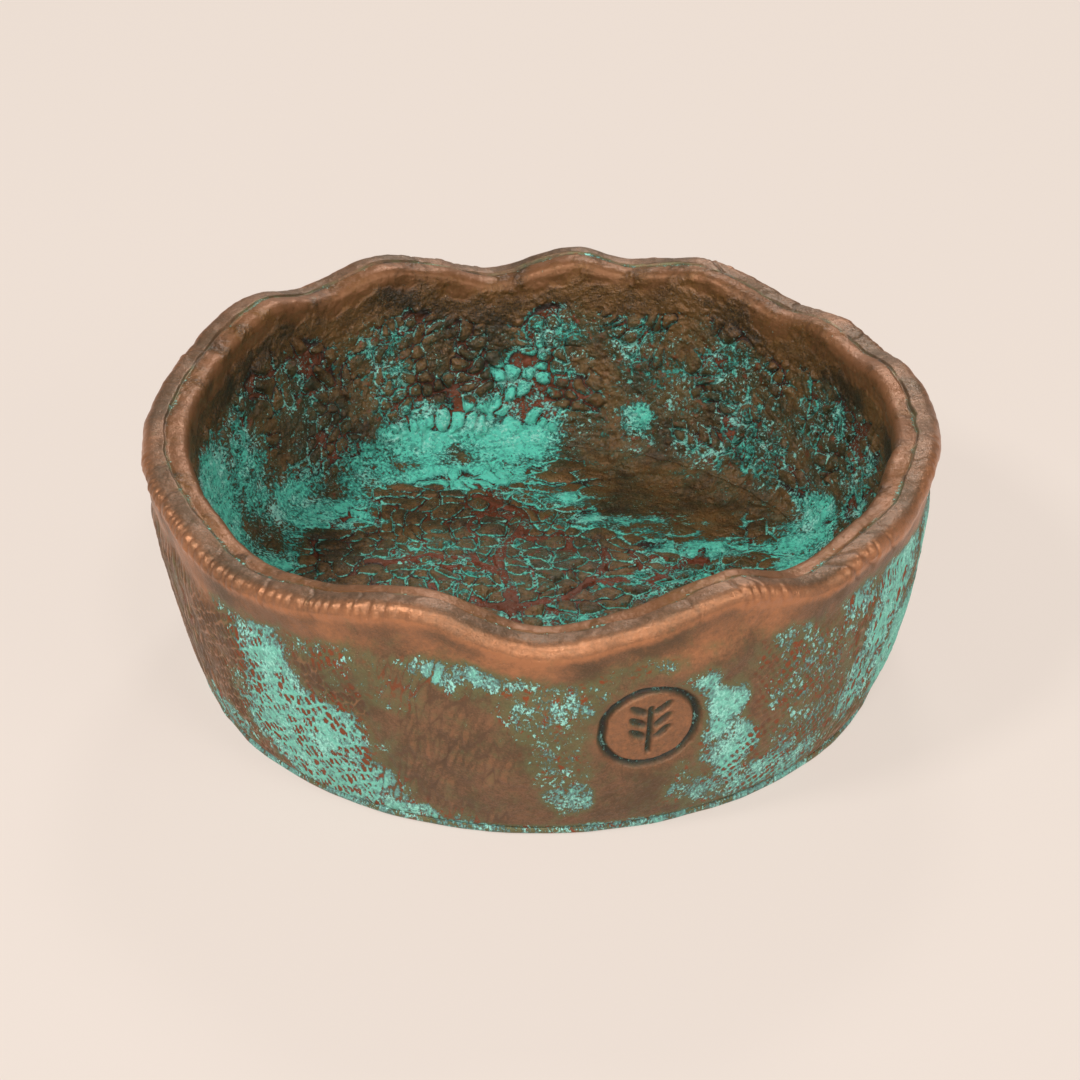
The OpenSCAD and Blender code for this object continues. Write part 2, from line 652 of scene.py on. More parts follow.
@dataclass(frozen=True)
class ClothPrint:
    """The knuckles that coarse linen pressed into the outside of the wall."""

    depth: float = 0.26
    radius: float = 62.0
    panels: tuple[ClothPanel, ...] = (
        ClothPanel(184, 216, 10, 1.0, 1.3, 9.0, 0.95, Knuckles.PROUD),
        ClothPanel(212, 248, -24, 1.0, 1.15, 2.0, 0.75),
        ClothPanel(245, 270, 14, 0.55, 1.2, 6.5, 0.9, Knuckles.PROUD),
        ClothPanel(266, 301, 40, 0.3, 1.2, 1.6),
        ClothPanel(296, 321, -32, 0.65, 1.15, 1.4, 0.3),
        ClothPanel(317, 347, 6, 1.0, 0.95, 3.0, 0.9),
        ClothPanel(343, 398, 10, 0.8, 1.6, 2.6),
        ClothPanel(30, 92, 38, 1.0, 1.5, 2.1, 0.4),
        ClothPanel(84, 140, -16, 0.8, 1.6, 2.6),
        ClothPanel(132, 190, 24, 1.0, 1.5, 2.2, 0.5),
    )

    def print_on(self, sheet: Sheet, place: Array) -> tuple[Array, Array]:
        """Lays the panels of cloth round the wall.

        Args:
            sheet: The wall's outline.
            place: Its points in space.

        Returns:
            The knuckles, from 0 between them to 1 in their middles, and the strength of
            the print from 0 to 1.
        """
        wander = Grain(Noise.CLOTH)
        drift_arc = 0.8 * wander.layered(place, 8.0, 4)
        drift_up = 0.8 * wander.layered(place + 90.0, 8.0, 4)
        ragged = 4.0 * wander.layered(place + 40.0, 9.0, 3)
        ragged_knuckles = 0.25 * wander.layered(place + 11.0, 1.3, 2)
        knuckles = np.zeros(place.shape[:-1])
        strength = np.zeros(place.shape[:-1])
        for number, panel in enumerate(self.panels):
            middle = (panel.start + panel.end) / 2
            half = (panel.end - panel.start) / 2
            gap = turn_gap(sheet.angle, middle)
            inside = 1.0 - smooth_step(np.abs(gap) + ragged, half - 3.0, half + 1.0)
            arc = np.radians(gap) * self.radius + drift_arc
            up = sheet.height + drift_up
            turn = math.radians(panel.turn)
            here = inside > 0.0
            run = (arc * math.cos(turn) - up * math.sin(turn))[here] / panel.across
            along = (arc * math.sin(turn) + up * math.cos(turn))[here] / panel.along
            nearest, second, own = Grain(Noise.THREADS + number).cells(run, along, 0, panel.jitter)
            pressed = smooth_step(second - nearest, 0.04, 0.36) * (0.75 + 0.25 * own)
            pressed = 1.0 - pressed if panel.knuckles is Knuckles.PROUD else pressed
            knuckles[here] += (pressed - knuckles[here]) * inside[here]
            strength[here] += (panel.strength - strength[here]) * inside[here]
        pressed = smooth_step(wander.layered(place + 7.0, 5.0, 3), -1.0, 0.05)
        knuckles = np.clip(knuckles + ragged_knuckles, 0.0, 1.0)
        return knuckles, strength * (0.2 + 0.8 * pressed)


@dataclass(frozen=True)
class Crease:
    """A straight fold of the cloth, from one place on the wall to another."""

    start: tuple[float, float]
    end: tuple[float, float]
    depth: float = 0.25
    width: float = 0.45

    def press(self, sheet: Sheet, radius: float) -> Array:
        """Gives how far the fold pressed in, from 0 to 1."""
        middle = (self.start[0] + self.end[0]) / 2
        arc = np.radians(turn_gap(sheet.angle, middle)) * radius
        from_arc = math.radians(self.start[0] - middle) * radius
        run_arc = math.radians(self.end[0] - self.start[0]) * radius
        run_up = self.end[1] - self.start[1]
        along = (arc - from_arc) * run_arc + (sheet.height - self.start[1]) * run_up
        held = np.clip(along / (run_arc**2 + run_up**2), 0.0, 1.0)
        gap = np.hypot(arc - from_arc - held * run_arc,
                       sheet.height - self.start[1] - held * run_up)
        return bell(gap, self.width * 1.5)


@dataclass(frozen=True)
class Crack:
    """A stretch crack across the outer slab's lip."""

    angle: float
    depth: float = 0.4
    width: float = 0.35
    reach: float = 2.5
    lean: float = 0.3


@dataclass(frozen=True)
class MakersStamp:
    """A plain round stamp with a leaf sprig, pressed into the front of the wall."""

    angle: float = 285.0
    height: float = 22.0
    ring_radius: float = 7.4
    groove: float = 0.62
    depth: float = 0.95
    stem: float = 4.4
    leaf_long: float = 2.0
    leaf_wide: float = 0.8
    leaf_steps: tuple[float, ...] = (-2.4, 0.0, 2.4)
    leaf_out: float = 1.9
    leaf_tilt: float = 52.0

    def press(self, sheet: Sheet, radius: float) -> tuple[Array, Array]:
        """Gives the stamp's depth and the area that it smooths.

        Args:
            sheet: The wall's outline.
            radius: Mean radius of the wall.

        Returns:
            Share of the full depth, and share of smoothing.
        """
        place = sheet.places()
        across = np.radians(turn_gap(sheet.angle, self.angle)) * radius
        across = across + 0.15 * Grain(Noise.STAMP_ACROSS).layered(place, 2.5, 2)
        up = sheet.height - self.height + 0.15 * Grain(Noise.STAMP_UP).layered(place, 2.5, 2)
        far = np.hypot(across, up)
        cut = np.exp(-(((far - self.ring_radius) / self.groove) ** 4))
        stem_far = np.hypot(across, np.maximum(np.abs(up + 0.6) - self.stem, 0.0))
        cut = np.maximum(cut, 0.9 * np.exp(-((stem_far / 0.45) ** 4)))
        for step in self.leaf_steps:
            for hand in (-1.0, 1.0):
                tilt = math.radians(self.leaf_tilt) * hand
                x = across - hand * self.leaf_out
                y = up - step - 1.2
                long = x * math.sin(tilt) + y * math.cos(tilt)
                wide = x * math.cos(tilt) - y * math.sin(tilt)
                leaf = np.hypot(long / self.leaf_long, wide / self.leaf_wide)
                cut = np.maximum(cut, 0.8 * (1 - smooth_step(leaf, 0.6, 1.05)))
        flat = 1 - smooth_step(far, self.ring_radius - 0.5, self.ring_radius + 3.5)
        on_wall = sheet.lip == 0
        return cut * on_wall, flat * on_wall


@dataclass
class OuterWall:
    """The outer wall slab: cloth print, stamp, lip with beads and stretch cracks."""

    shape: BowlShape
    columns: int = 1440
    wall_steps: int = 146
    lip_steps: int = 13
    hidden_steps: int = 6
    bead_pitch: float = 1.75
    bead_rise: float = 0.5
    # Stretches of lip with beads: direction, half length in degrees and strength
    bead_stretches: tuple[tuple[float, float, float], ...] = (
        (222.0, 34.0, 1.0), (300.0, 5.0, 0.8), (319.0, 4.0, 0.9), (162.0, 7.0, 0.5),
        (346.0, 7.0, 0.4), (66.0, 10.0, 0.6), (28.0, 8.0, 0.5), (108.0, 10.0, 0.5))
    # Thumbed bulges: direction, height, half width, half height and rise
    bulges: tuple[tuple[float, float, float, float, float], ...] = (
        (292, 33, 11, 5, 0.9), (304, 35, 7, 4, 0.4), (243, 32, 10, 6, 0.4), (338, 32, 8, 7, 0.5),
        (215, 30, 7, 8, 0.3), (20, 31, 12, 6, 0.6), (70, 33, 10, 6, 0.6), (130, 32, 12, 6, 0.6),
        (176, 30, 9, 7, 0.5))
    cloth: ClothPrint = ClothPrint()
    stamp: MakersStamp = MakersStamp()
    creases: tuple[Crease, ...] = (
        Crease((258, 20), (252, 2), 0.22), Crease((243, 30), (251, 4), 0.12, 0.6),
        Crease((206, 33), (212, 8), 0.3), Crease((202, 30), (208, 6), 0.3, 0.35),
        Crease((198, 34), (203, 9), 0.3),
        Crease((318, 34), (308, 6), 0.22, 0.4), Crease((334, 30), (324, 6), 0.25, 0.4),
        Crease((20, 34), (34, 5), 0.25),
        Crease((96, 36), (110, 8), 0.25), Crease((150, 34), (140, 6), 0.25))
    cracks: tuple[Crack, ...] = (
        Crack(196.5, 0.3, 0.3, 2.2), Crack(203.6, 0.4, 0.3, 2.6), Crack(211.4, 0.3, 0.3, 2.2),
        Crack(219.4, 0.3, 0.3, 2.0), Crack(230.5, 0.3, 0.3, 2.2), Crack(238.4, 0.35, 0.3, 2.4),
        Crack(246.0, 0.3, 0.3, 2.0), Crack(290.5, 0.25, 0.3, 2.0), Crack(297.2, 0.4, 0.35, 2.0),
        Crack(300.2, 0.35, 0.35, 1.8), Crack(316.5, 0.4, 0.5, 3.0, 0.9),
        Crack(319.8, 0.4, 0.45, 2.8, 0.9), Crack(325.5, 0.3, 0.4, 2.4, 0.6),
        Crack(344.0, 0.25, 0.3, 2.0), Crack(160.5, 0.4, 0.35, 2.6), Crack(170.0, 0.25, 0.3, 2.2),
        Crack(62.0, 0.5, 0.4, 3.6, 1.2), Crack(28.5, 0.3, 0.3, 2.2), Crack(112.0, 0.3, 0.3, 2.0),
        Crack(44.0, 0.3, 0.35, 2.4),
    )
    patches: tuple[Patch, ...] = (
        Patch(229, 25, 8, 8, 0.84, -0.3), Patch(234, 16, 14, 9, 0.95, -0.3),
        Patch(229, 10, 10, 7, 0.85), Patch(237, 6, 14, 6, 0.95), Patch(222, 31, 5, 3, 0.5),
        Patch(239, 33, 13, 4, 0.4), Patch(250, 2.5, 12, 3, 0.75), Patch(247, 29, 10, 5, 0.3),
        Patch(258, 34, 8, 3, 0.56), Patch(265, 32.5, 8, 4, 0.6), Patch(273, 29, 8, 5, 0.52),
        Patch(269, 25, 8, 8, 0.44), Patch(273, 18, 7, 9, 0.4), Patch(274, 9, 4, 5, 0.62),
        Patch(281, 34, 10, 3, 0.42), Patch(280, 26, 6, 11, 0.36),
        Patch(293, 28, 4, 5, 0.86), Patch(295.5, 23, 5, 7, 0.95, 0.4), Patch(298, 13, 5, 8, 0.8),
        Patch(293, 8, 6, 5, 0.55), Patch(307, 33, 9, 5, 0.42), Patch(311, 25, 10, 10, 0.44),
        Patch(312, 12, 10, 9, 0.46), Patch(320, 33, 6, 6, 0.56), Patch(330, 28, 9, 12, 0.85, 0.5),
        Patch(338, 14, 12, 12, 0.85), Patch(324, 14, 9, 10, 0.62), Patch(306, 5, 16, 4, 0.66),
        Patch(345, 28, 8, 9, 0.7), Patch(206, 22, 6, 14, 0.2), Patch(186, 20, 8, 16, 0.6),
        Patch(212, 5, 9, 5, 0.6),
        Patch(8, 20, 9, 10, 0.75), Patch(28, 10, 14, 8, 0.9), Patch(48, 26, 10, 8, 0.9, 0.5),
        Patch(66, 14, 12, 12, 0.75, -0.5), Patch(88, 28, 12, 5, 0.6), Patch(98, 9, 14, 7, 0.85),
        Patch(122, 20, 12, 14, 0.95, 0.4), Patch(146, 9, 14, 7, 0.85), Patch(160, 27, 9, 7, 0.7),
        Patch(176, 17, 8, 12, 0.6),
    )

    def sheet(self) -> Sheet:
        """Lays out the slab's closed outline in every direction."""
        shape = self.shape
        angle = (np.arange(self.columns) * 360.0 / self.columns)[:, None]
        radius, height = shape.outside(angle, np.linspace(0.0, 1.0, self.wall_steps)[None, :])
        tuck = 0.08 * bell(height - shape.base_top, 0.6)
        skin = smooth_step(height, shape.base_top, shape.base_top + 1.0)
        return Sheet.joined(angle, [
            Run(radius - tuck, height, skin),
            shape.lip_run(angle, shape.rim_radius, 1.8, self.lip_steps),
            shape.meeting_run(angle, self.hidden_steps),
        ])

    def beads(self, sheet: Sheet) -> tuple[Array, Array]:
        """Gives the row of small pinched beads along the lip's outer corner.

        Args:
            sheet: The slab's outline.

        Returns:
            The beads' lift as a share, and the share of the cracks between them.
        """
        around = round(2 * math.pi * self.shape.rim_radius / self.bead_pitch)
        across = sheet.angle / 360.0 * around + 0 * sheet.height
        nearest, second, own = Grain(Noise.BEADS).cells(across, 0 * across + 0.5, around, 0.9)
        dome = np.sqrt(np.clip((second - nearest) / 0.5, 0.0, 1.0))
        presence = np.zeros(sheet.height.shape)
        for middle, half, strength in self.bead_stretches:
            reach = np.abs(turn_gap(sheet.angle, middle))
            presence = np.maximum(presence, strength * (1 - smooth_step(reach, half * 0.8, half)))
        below = self.shape.rim_top(sheet.angle) - sheet.height
        below = below + 1.2 * (own - 0.5)
        corner = np.where(sheet.lip > 0, bell(sheet.lip - 0.1, 0.22), bell(below - 1.6, 1.0))
        fading = 0.75 + 0.6 * Grain(Noise.BEADS_FADING).layered(sheet.places(), 9.0, 2)
        presence = presence * corner * smooth_step(own, 0.1, 0.4) * np.clip(fading, 0.0, 1.0)
        return dome * presence * (0.4 + 0.6 * own), (1 - dome) * presence

    def lip_relief(self, sheet: Sheet, place: Array) -> tuple[Array, Array]:
        """Shapes the lip: pinch marks, beads, stretch cracks and the roll over the wall.

        Args:
            sheet: The slab's outline.
            place: Its points in space.

        Returns:
            Lift in millimetres, and the cracks' share from 0 to 1.
        """
        shape = self.shape
        below = np.where(sheet.lip > 0, 0.0, shape.rim_top(sheet.angle) - shape.lip - sheet.height)
        pinch = 0.3 * Grain(Noise.OUTER_PINCH).layered(place, 6.5, 4)
        lift = pinch * bell(below, 7.0) + 0.3 * bell(below, 2.2) - 0.5 * bell(below - 6.0, 4.0)
        beads, gaps = self.beads(sheet)
        lift = lift + self.bead_rise * (beads - 0.6 * gaps)
        opened = 0.6 * gaps
        down = np.where(sheet.lip > 0, -4.5 * sheet.lip, below)
        for crack in self.cracks:
            gap = np.radians(turn_gap(sheet.angle, crack.angle)) * shape.rim_radius
            wobble = 0.25 * np.sin(down * 1.9 + crack.angle)
            line = bell(gap - crack.lean * down - wobble, crack.width * 1.3)
            line = line * (1.0 - smooth_step(down, crack.reach - 2.0, crack.reach))
            lift = lift - 0.6 * line * crack.depth
            opened = np.maximum(opened, line * crack.depth)
        return lift, np.clip(opened, 0.0, 1.0)

    def build(self) -> bpy.types.Object:
        """Builds the slab with its relief and its finish marks."""
        shape = self.shape
        sheet = self.sheet()
        place = sheet.places()
        below_rim = shape.rim_top(sheet.angle) - sheet.height
        on_wall = sheet.lip == 0
        knuckles, strength = self.cloth.print_on(sheet, place)
        cut, flat = self.stamp.press(sheet, self.cloth.radius)
        strength = strength * smooth_step(below_rim, 5.0, 11.0) * on_wall * (1 - 0.95 * flat)
        folds = np.zeros(sheet.height.shape)
        for crease in self.creases:
            folds = np.maximum(folds, crease.depth * crease.press(sheet, self.cloth.radius))
        folds = folds * on_wall * (1 - flat)
        lip_lift, opened = self.lip_relief(sheet, place)
        hand = 0.3 * Grain(Noise.HAND).layered(place, 17.0, 3)
        hand = hand + 0.12 * Grain(Noise.DENTS).layered(place, 3.5, 3)
        for angle, height, wide, tall, rise in self.bulges:
            arc = np.radians(turn_gap(sheet.angle, angle)) * self.cloth.radius
            hand = hand + rise * bell(np.hypot(arc / wide, (sheet.height - height) / tall), 1.0)
        lift = hand * smooth_step(sheet.height, 2.0, 9.0) + lip_lift - folds
        lift = lift + self.cloth.depth * (0.5 - knuckles) * strength
        sheet.push(lift - self.stamp.depth * cut - 0.3 * flat)
        patina = cloud_field(self.patches, sheet, self.cloth.radius)
        patina = np.maximum(patina, 0.12) * smooth_step(below_rim, 3.5, 8.0) * (1 - flat)
        foot = bell(sheet.height - shape.base_top, 1.4) * (sheet.height < 6.0) * on_wall
        foot = foot * (0.5 + 0.4 * Grain(Noise.FOOT_PATINA).layered(place, 8.0, 3))
        patina = np.maximum(patina, foot)
        # Beside real rubbing, the corner term paints a highlight line along the lip's outer corner,
        # and the bulge term paints a sheen on the raised bulges.
        corner = np.where(sheet.lip > 0, bell(sheet.lip - 0.1, 0.3), bell(below_rim - 1.9, 1.4))
        rubbed = lip_wear(sheet, below_rim) + 0.55 * corner + 0.35 * np.clip(2.2 * hand - 0.6, 0, 1)
        rubbed = rubbed + 0.5 * flat
        relief = 0.5 + (0.5 - knuckles) * strength - 1.0 * folds - 0.2 * opened
        patina = np.maximum(patina, np.maximum(0.42 * cut, seam_specks(sheet, place)))
        seam = np.maximum(seam_fill(sheet, place), np.maximum(0.7 * opened, cut))
        marks = {
            "patina": np.clip(patina, 0, 1),
            "relief": np.clip(relief, 0, 1),
            # This mark carries real wear together with the painted highlight and sheen above.
            "wear_and_sheen": np.clip(rubbed, 0, 1),
            "seam": np.clip(seam, 0, 1),
        }
        points = sheet.radius.shape[1]
        flat_steps = np.arange(points) >= points - self.hidden_steps - 1
        return make_mesh("outer_wall_cloth_printed", sheet.places().reshape(-1, 3),
                         ring_quads(self.columns, points), marks,
                         np.tile(flat_steps, self.columns))


def seam_fill(sheet: Sheet, place: Array) -> Array:
    """Marks the dark dirt in the seam, which comes and goes along the lip."""
    broken = 0.02 + 0.8 * Grain(Noise.SEAM_DIRT).layered(place, 2.0, 3)
    return smooth_step(sheet.lip, 0.86, 0.97) * np.clip(broken, 0.0, 0.5)


def seam_specks(sheet: Sheet, place: Array) -> Array:
    """Marks the specks of green patina along the seam."""
    specks = 0.24 + 0.22 * Grain(Noise.SEAM_SPECKS).layered(place, 5.0, 2)
    return smooth_step(sheet.lip, 0.8, 0.96) * np.clip(specks, 0.0, 1.0)


def lip_wear(sheet: Sheet, below_rim: Array) -> Array:
    """Marks where hands have rubbed the lip and the wall under it.

    Args:
        sheet: The slab's outline.
        below_rim: Distances below the rim before the relief.

    Returns:
        Wear from 0 to 1.
    """
    place = sheet.places()
    on_lip = np.where(sheet.lip > 0, 0.45, 1 - smooth_step(below_rim, 6.0, 11.5))
    return np.clip(on_lip * (0.4 + 0.5 * Grain(Noise.LIP_WEAR).layered(place, 7.0, 3)), 0, 1)


@dataclass(frozen=True)
class PebbleRelief:
    """Rounded pebbles and wrinkles that were pressed into the clay."""

    across: float = 2.9
    along: float = 2.8
    lift: float = 1.4
    seed: int = 71
    cover: float = 0.0
    bare: float = 0.22
    warp: float = 0.22
    channel: float = 0.12
    wrinkling: float = 0.3

    def raise_on(self, run: Array, along: Array, place: Array,
                 wrap: int = 0) -> tuple[Array, Array]:
        """Lays pebbles in clusters with wrinkles between them.

        Args:
            run: Places across the surface in millimetres, or in cells where it wraps.
            along: Places along the surface in millimetres.
            place: The same points in space.
            wrap: Number of cells all round, or 0.

        Returns:
            Lift in millimetres, and the relief's level from 0 on the ground between
            pebbles to 1 on their tops.
        """
        warp = Grain(self.seed)
        cell_run = run if wrap else run / self.across
        cell_run = cell_run + self.warp * warp.layered(place, 3.6, 2)
        cell_run = cell_run + 1.2 * warp.layered(place + 19.0, 14.0, 2)
        cell_along = along / self.along + self.warp * warp.layered(place + 55.0, 3.6, 2)
        cell_along = cell_along + 1.2 * warp.layered(place + 77.0, 14.0, 2)
        nearest, second, own = Grain(self.seed + 1).cells(cell_run, cell_along, wrap, 0.8)
        edge = np.clip((second - nearest - self.channel) / 0.34, 0.0, 1.0)
        rounding = 1.15 * np.sqrt(np.clip(1.0 - (nearest / 0.72) ** 2, 0.0, 1.0))
        dome = np.minimum(edge**0.6, rounding) * (0.55 + 0.45 * own) * (own > self.bare)
        cluster = Grain(self.seed + 2).layered(place, 9.0, 3) + self.cover
        cluster = smooth_step(cluster + 0.6 * (own - 0.5), -0.25, 0.2)
        wrinkle = 1.0 - 2.2 * np.abs(Grain(self.seed + 3).layered(place, 2.2, 4))
        swell = Grain(self.seed + 4).layered(place, 5.0, 3)
        lift = self.lift * (dome - 0.4) * cluster + 0.3 * swell
        lift = lift + self.wrinkling * wrinkle * (1 - 0.7 * cluster * (dome > 0))
        level = 0.62 + (dome * 1.2 - 0.62) * cluster + 0.25 * (wrinkle - 0.3) * (1 - cluster)
        return lift, np.clip(level, 0.0, 1.0)


def cove_lift(place: Array) -> Array:
    """Gives the lumps and wrinkles that the floor and the wall share where they meet.

    Args:
        place: Points in space.

    Returns:
        Lift in millimetres, strongest in the cove and weak on the floor and high on the wall.
    """
    far = np.hypot(place[..., 0], place[..., 1])
    near = smooth_step(far, 40.0, 47.0) * (1 - smooth_step(place[..., 2], 10.0, 16.0))
    lumps = 0.55 * Grain(Noise.COVE_LUMPS).layered(place, 3.4, 3)
    wrinkles = 0.3 * (1.0 - 2.2 * np.abs(Grain(Noise.COVE_WRINKLES).layered(place, 3.0, 3)))
    return (0.3 + 0.7 * near) * (lumps + wrinkles)


@dataclass
class InnerWall:
    """The inner wall slab: pebbled relief, smooth band under the lip, cove at the floor."""

    shape: BowlShape
    columns: int = 1440
    wall_steps: int = 142
    lip_steps: int = 13
    hidden_steps: int = 6
    radius: float = 56.0
    pebbles: PebbleRelief = PebbleRelief(cover=0.1)
    patches: tuple[Patch, ...] = (
        Patch(172, 22, 11, 14, 0.8), Patch(158, 20, 9, 13, 0.62), Patch(150, 10, 12, 6, 0.72),
        Patch(176, 10, 12, 8, 0.8), Patch(140, 26, 8, 10, 0.34), Patch(122, 31, 8, 6, 0.42),
        Patch(120, 21, 7, 12, 0.46), Patch(112, 11, 14, 6, 0.95), Patch(97, 10, 12, 7, 1.0),
        Patch(93, 19, 6.5, 9, 0.74), Patch(90, 29, 6, 8, 0.52), Patch(82, 31, 6, 5, 0.4),
        Patch(128, 8, 12, 5, 0.66), Patch(72, 28, 8, 9, 0.46), Patch(70, 13, 5, 5, 0.7),
        Patch(56, 11, 8, 4, 0.5), Patch(64, 20, 10, 10, 0.38), Patch(80, 14, 9, 8, 0.32),
        Patch(52, 26, 9, 10, 0.42),
        Patch(44, 15, 10, 9, 0.46), Patch(30, 24, 9, 12, 0.42), Patch(20, 10, 11, 6, 0.76),
        Patch(12, 22, 9, 10, 0.5), Patch(2, 14, 9, 9, 0.7), Patch(336, 18, 12, 12, 0.8),
        Patch(312, 9, 14, 7, 0.9), Patch(300, 25, 8, 9, 0.6), Patch(278, 13, 11, 9, 0.85),
        Patch(254, 22, 9, 12, 0.7), Patch(232, 10, 14, 8, 0.9), Patch(214, 23, 9, 9, 0.75),
        Patch(196, 12, 11, 8, 0.8),
    )

    def sheet(self) -> Sheet:
        """Lays out the slab's closed outline in every direction."""
        shape = self.shape
        angle = (np.arange(self.columns) * 360.0 / self.columns)[:, None]
        face = shape.rim_radius - 2 * shape.slab
        radius, height = shape.inside(angle, np.linspace(1.0, 0.0, self.wall_steps)[None, :])
        ends = np.array([[shape.floor_radius]])
        return Sheet.joined(angle, [
            shape.meeting_run(angle, self.hidden_steps).reversed(),
            shape.lip_run(angle, face, 2.2, self.lip_steps).reversed(),
            Run(radius, height, 1.0),
            Run(ends, 0 * ends + shape.base_top),
        ])

    def patina(self, sheet: Sheet) -> Array:
        """Gives the clouds of patina, over a thin haze of it."""
        return np.maximum(cloud_field(self.patches, sheet, self.radius), 0.22)

    def build(self) -> bpy.types.Object:
        """Builds the slab with its relief and its finish marks."""
        shape = self.shape
        sheet = self.sheet()
        place = sheet.places()
        below_rim = shape.rim_top(sheet.angle) - sheet.height
        uneven = 1.5 * Grain(Noise.PEBBLE_EDGE).layered(place, 9.0, 2)
        under_rim = smooth_step(below_rim + uneven, 6.5, 10.0)
        above_cove = sheet.height - shape.floor_top - shape.cove_rise
        on_wall = (sheet.lip == 0) * under_rim * smooth_step(above_cove, 0.0, 5.0)
        around = round(2 * math.pi * self.radius / self.pebbles.across)
        joint = sheet.radius.shape[1] - 2
        lift, level = self.pebbles.raise_on(
            sheet.angle / 360.0 * around, sheet.lengths_to(joint), place, around)
        pinch = 0.3 * Grain(Noise.INNER_PINCH).layered(place, 6.0, 4) * (1 - under_rim)
        lift = lift * on_wall + pinch + cove_lift(place) * (sheet.lip == 0)
        sheet.push(lift, joint, float(shape.floor_slope(shape.floor_radius)))
        patina = self.patina(sheet) * smooth_step(below_rim, 6.0, 11.0)
        uneven = 1.5 * Grain(Noise.INNER_LIP_EDGE).layered(place, 5.0, 3)
        rubbed = 1 - smooth_step(below_rim + uneven, 2.0, 6.0)
        rubbed = rubbed * (0.75 + 0.5 * Grain(Noise.INNER_LIP_WEAR).layered(place, 4.0, 4))
        patina = np.maximum(patina * (sheet.lip == 0), seam_specks(sheet, place))
        marks = {
            "patina": np.clip(patina, 0, 1),
            "relief": np.clip(0.6 + (level - 0.6) * on_wall, 0, 1),
            "wear_and_sheen": np.clip(rubbed, 0, 1),
            "seam": seam_fill(sheet, place),
        }
        steps = np.arange(joint + 2)
        flat_steps = (steps < self.hidden_steps) | (steps >= joint)
        return make_mesh("inner_wall_pebbled", sheet.places().reshape(-1, 3),
                         ring_quads(self.columns, joint + 2), marks,
                         np.tile(flat_steps, self.columns))


@dataclass(frozen=True)
class Bough:
    """A raised bough of the tree: start, end, width and bend, in millimetres."""

    start: tuple[float, float]
    end: tuple[float, float]
    width: float
    bow: float = 0.0


@dataclass
class TreeRelief:
    """The tree on the floor: trunk, boughs and twigs among lens-shaped leaves."""

    trunk: float = 1.25
    rise: float = 0.35
    twig_count: int = 26
    reach: float = 37.0
    seed: int = 19
    leaves: PebbleRelief = PebbleRelief(
        across=4.6, along=3.3, lift=1.1, seed=101, cover=0.75, bare=0.02, warp=0.22,
        channel=0.05, wrinkling=0.3)
    boughs: tuple[Bough, ...] = (
        Bough((-3, -16), (-5, -3), 1.0, 0.6), Bough((-5, -3), (-7, 9), 0.9, 0.5),
        Bough((-7, 9), (-3, 22), 0.8, -1.8), Bough((-3, 22), (-6, 31), 0.7, 1.5),
        Bough((-6, 31), (-12, 34), 0.5, 0.5), Bough((-7, 9), (-20, 14), 0.6, 1.5),
        Bough((-20, 14), (-30, 12), 0.5, -1.0), Bough((-5, -3), (8, 4), 0.8, 1.4),
        Bough((8, 4), (18, 5), 0.6, -1.2), Bough((18, 5), (25, 14), 0.6, 1.2),
        Bough((8, 4), (12, 16), 0.5, 1.2), Bough((-5, -3), (-18, -4), 0.6, 1.6),
        Bough((-18, -4), (-30, -8), 0.5, -1.2),
    )

    def twigs(self) -> list[Bough]:
        """Grows twigs off the boughs."""
        draw = np.random.default_rng(self.seed)
        grown: list[Bough] = []
        for _ in range(self.twig_count):
            stock = list(self.boughs[1:]) + grown[:60]
            bough = stock[int(draw.integers(len(stock)))]
            share = draw.uniform(0.25, 1.0)
            x = bough.start[0] + (bough.end[0] - bough.start[0]) * share
            y = bough.start[1] + (bough.end[1] - bough.start[1]) * share
            run = math.atan2(bough.end[1] - bough.start[1], bough.end[0] - bough.start[0])
            turn = run + draw.choice((-1.0, 1.0)) * draw.uniform(0.4, 1.2)
            length = draw.uniform(3.0, 7.5)
            end = (x + length * math.cos(turn), y + length * math.sin(turn))
            bow = draw.uniform(-0.8, 0.8)
            if math.hypot(end[0], end[1] - 6.0) < self.reach:
                grown.append(Bough((x, y), end, max(0.12, bough.width * 0.4), bow))
        return grown

    def raise_on(self, x: Array, y: Array) -> tuple[Array, Array, Array]:
        """Raises the tree and its leaves from the floor.

        Args:
            x: Places across the floor.
            y: Places along the floor, away from the front.

        Returns:
            Lift in millimetres, level from 0 to 1, and the wood's share from 0 to 1.
        """
        place = np.stack([x, y, 0 * x], -1)
        bent_x = x + 0.9 * Grain(Noise.BOUGH_BEND_X).layered(place, 4.0, 3)
        bent_y = y + 0.9 * Grain(Noise.BOUGH_BEND_Y).layered(place, 4.0, 3)
        gap_to_wood = np.full(x.shape, 9.0)
        for bough in list(self.boughs) + self.twigs():
            run_x, run_y = bough.end[0] - bough.start[0], bough.end[1] - bough.start[1]
            length = math.hypot(run_x, run_y)
            from_x, from_y = bent_x - bough.start[0], bent_y - bough.start[1]
            along = (from_x * run_x + from_y * run_y) / length**2
            held = np.clip(along, 0.0, 1.0)
            side = (from_x * run_y - from_y * run_x) / length - bough.bow * 4 * held * (1 - held)
            half = self.trunk * bough.width / 2 * (1.15 - 0.35 * held)
            gap = np.hypot(side, (along - held) * length) - half
            gap_to_wood = np.minimum(gap_to_wood, gap)
        wood = 1 - smooth_step(gap_to_wood, -0.1, 0.45)
        lift, level = self.leaves.raise_on(x, y, place)
        veins = np.sin(2 * np.pi * (bent_y + 0.35 * bent_x) / 0.8)
        lift = lift + 0.05 * veins * smooth_step(level, 0.5, 0.7)
        lift = lift * smooth_step(gap_to_wood, 0.0, 1.0) + self.rise * wood
        level = level * smooth_step(gap_to_wood, 0.35, 0.9)
        return lift, level, wood


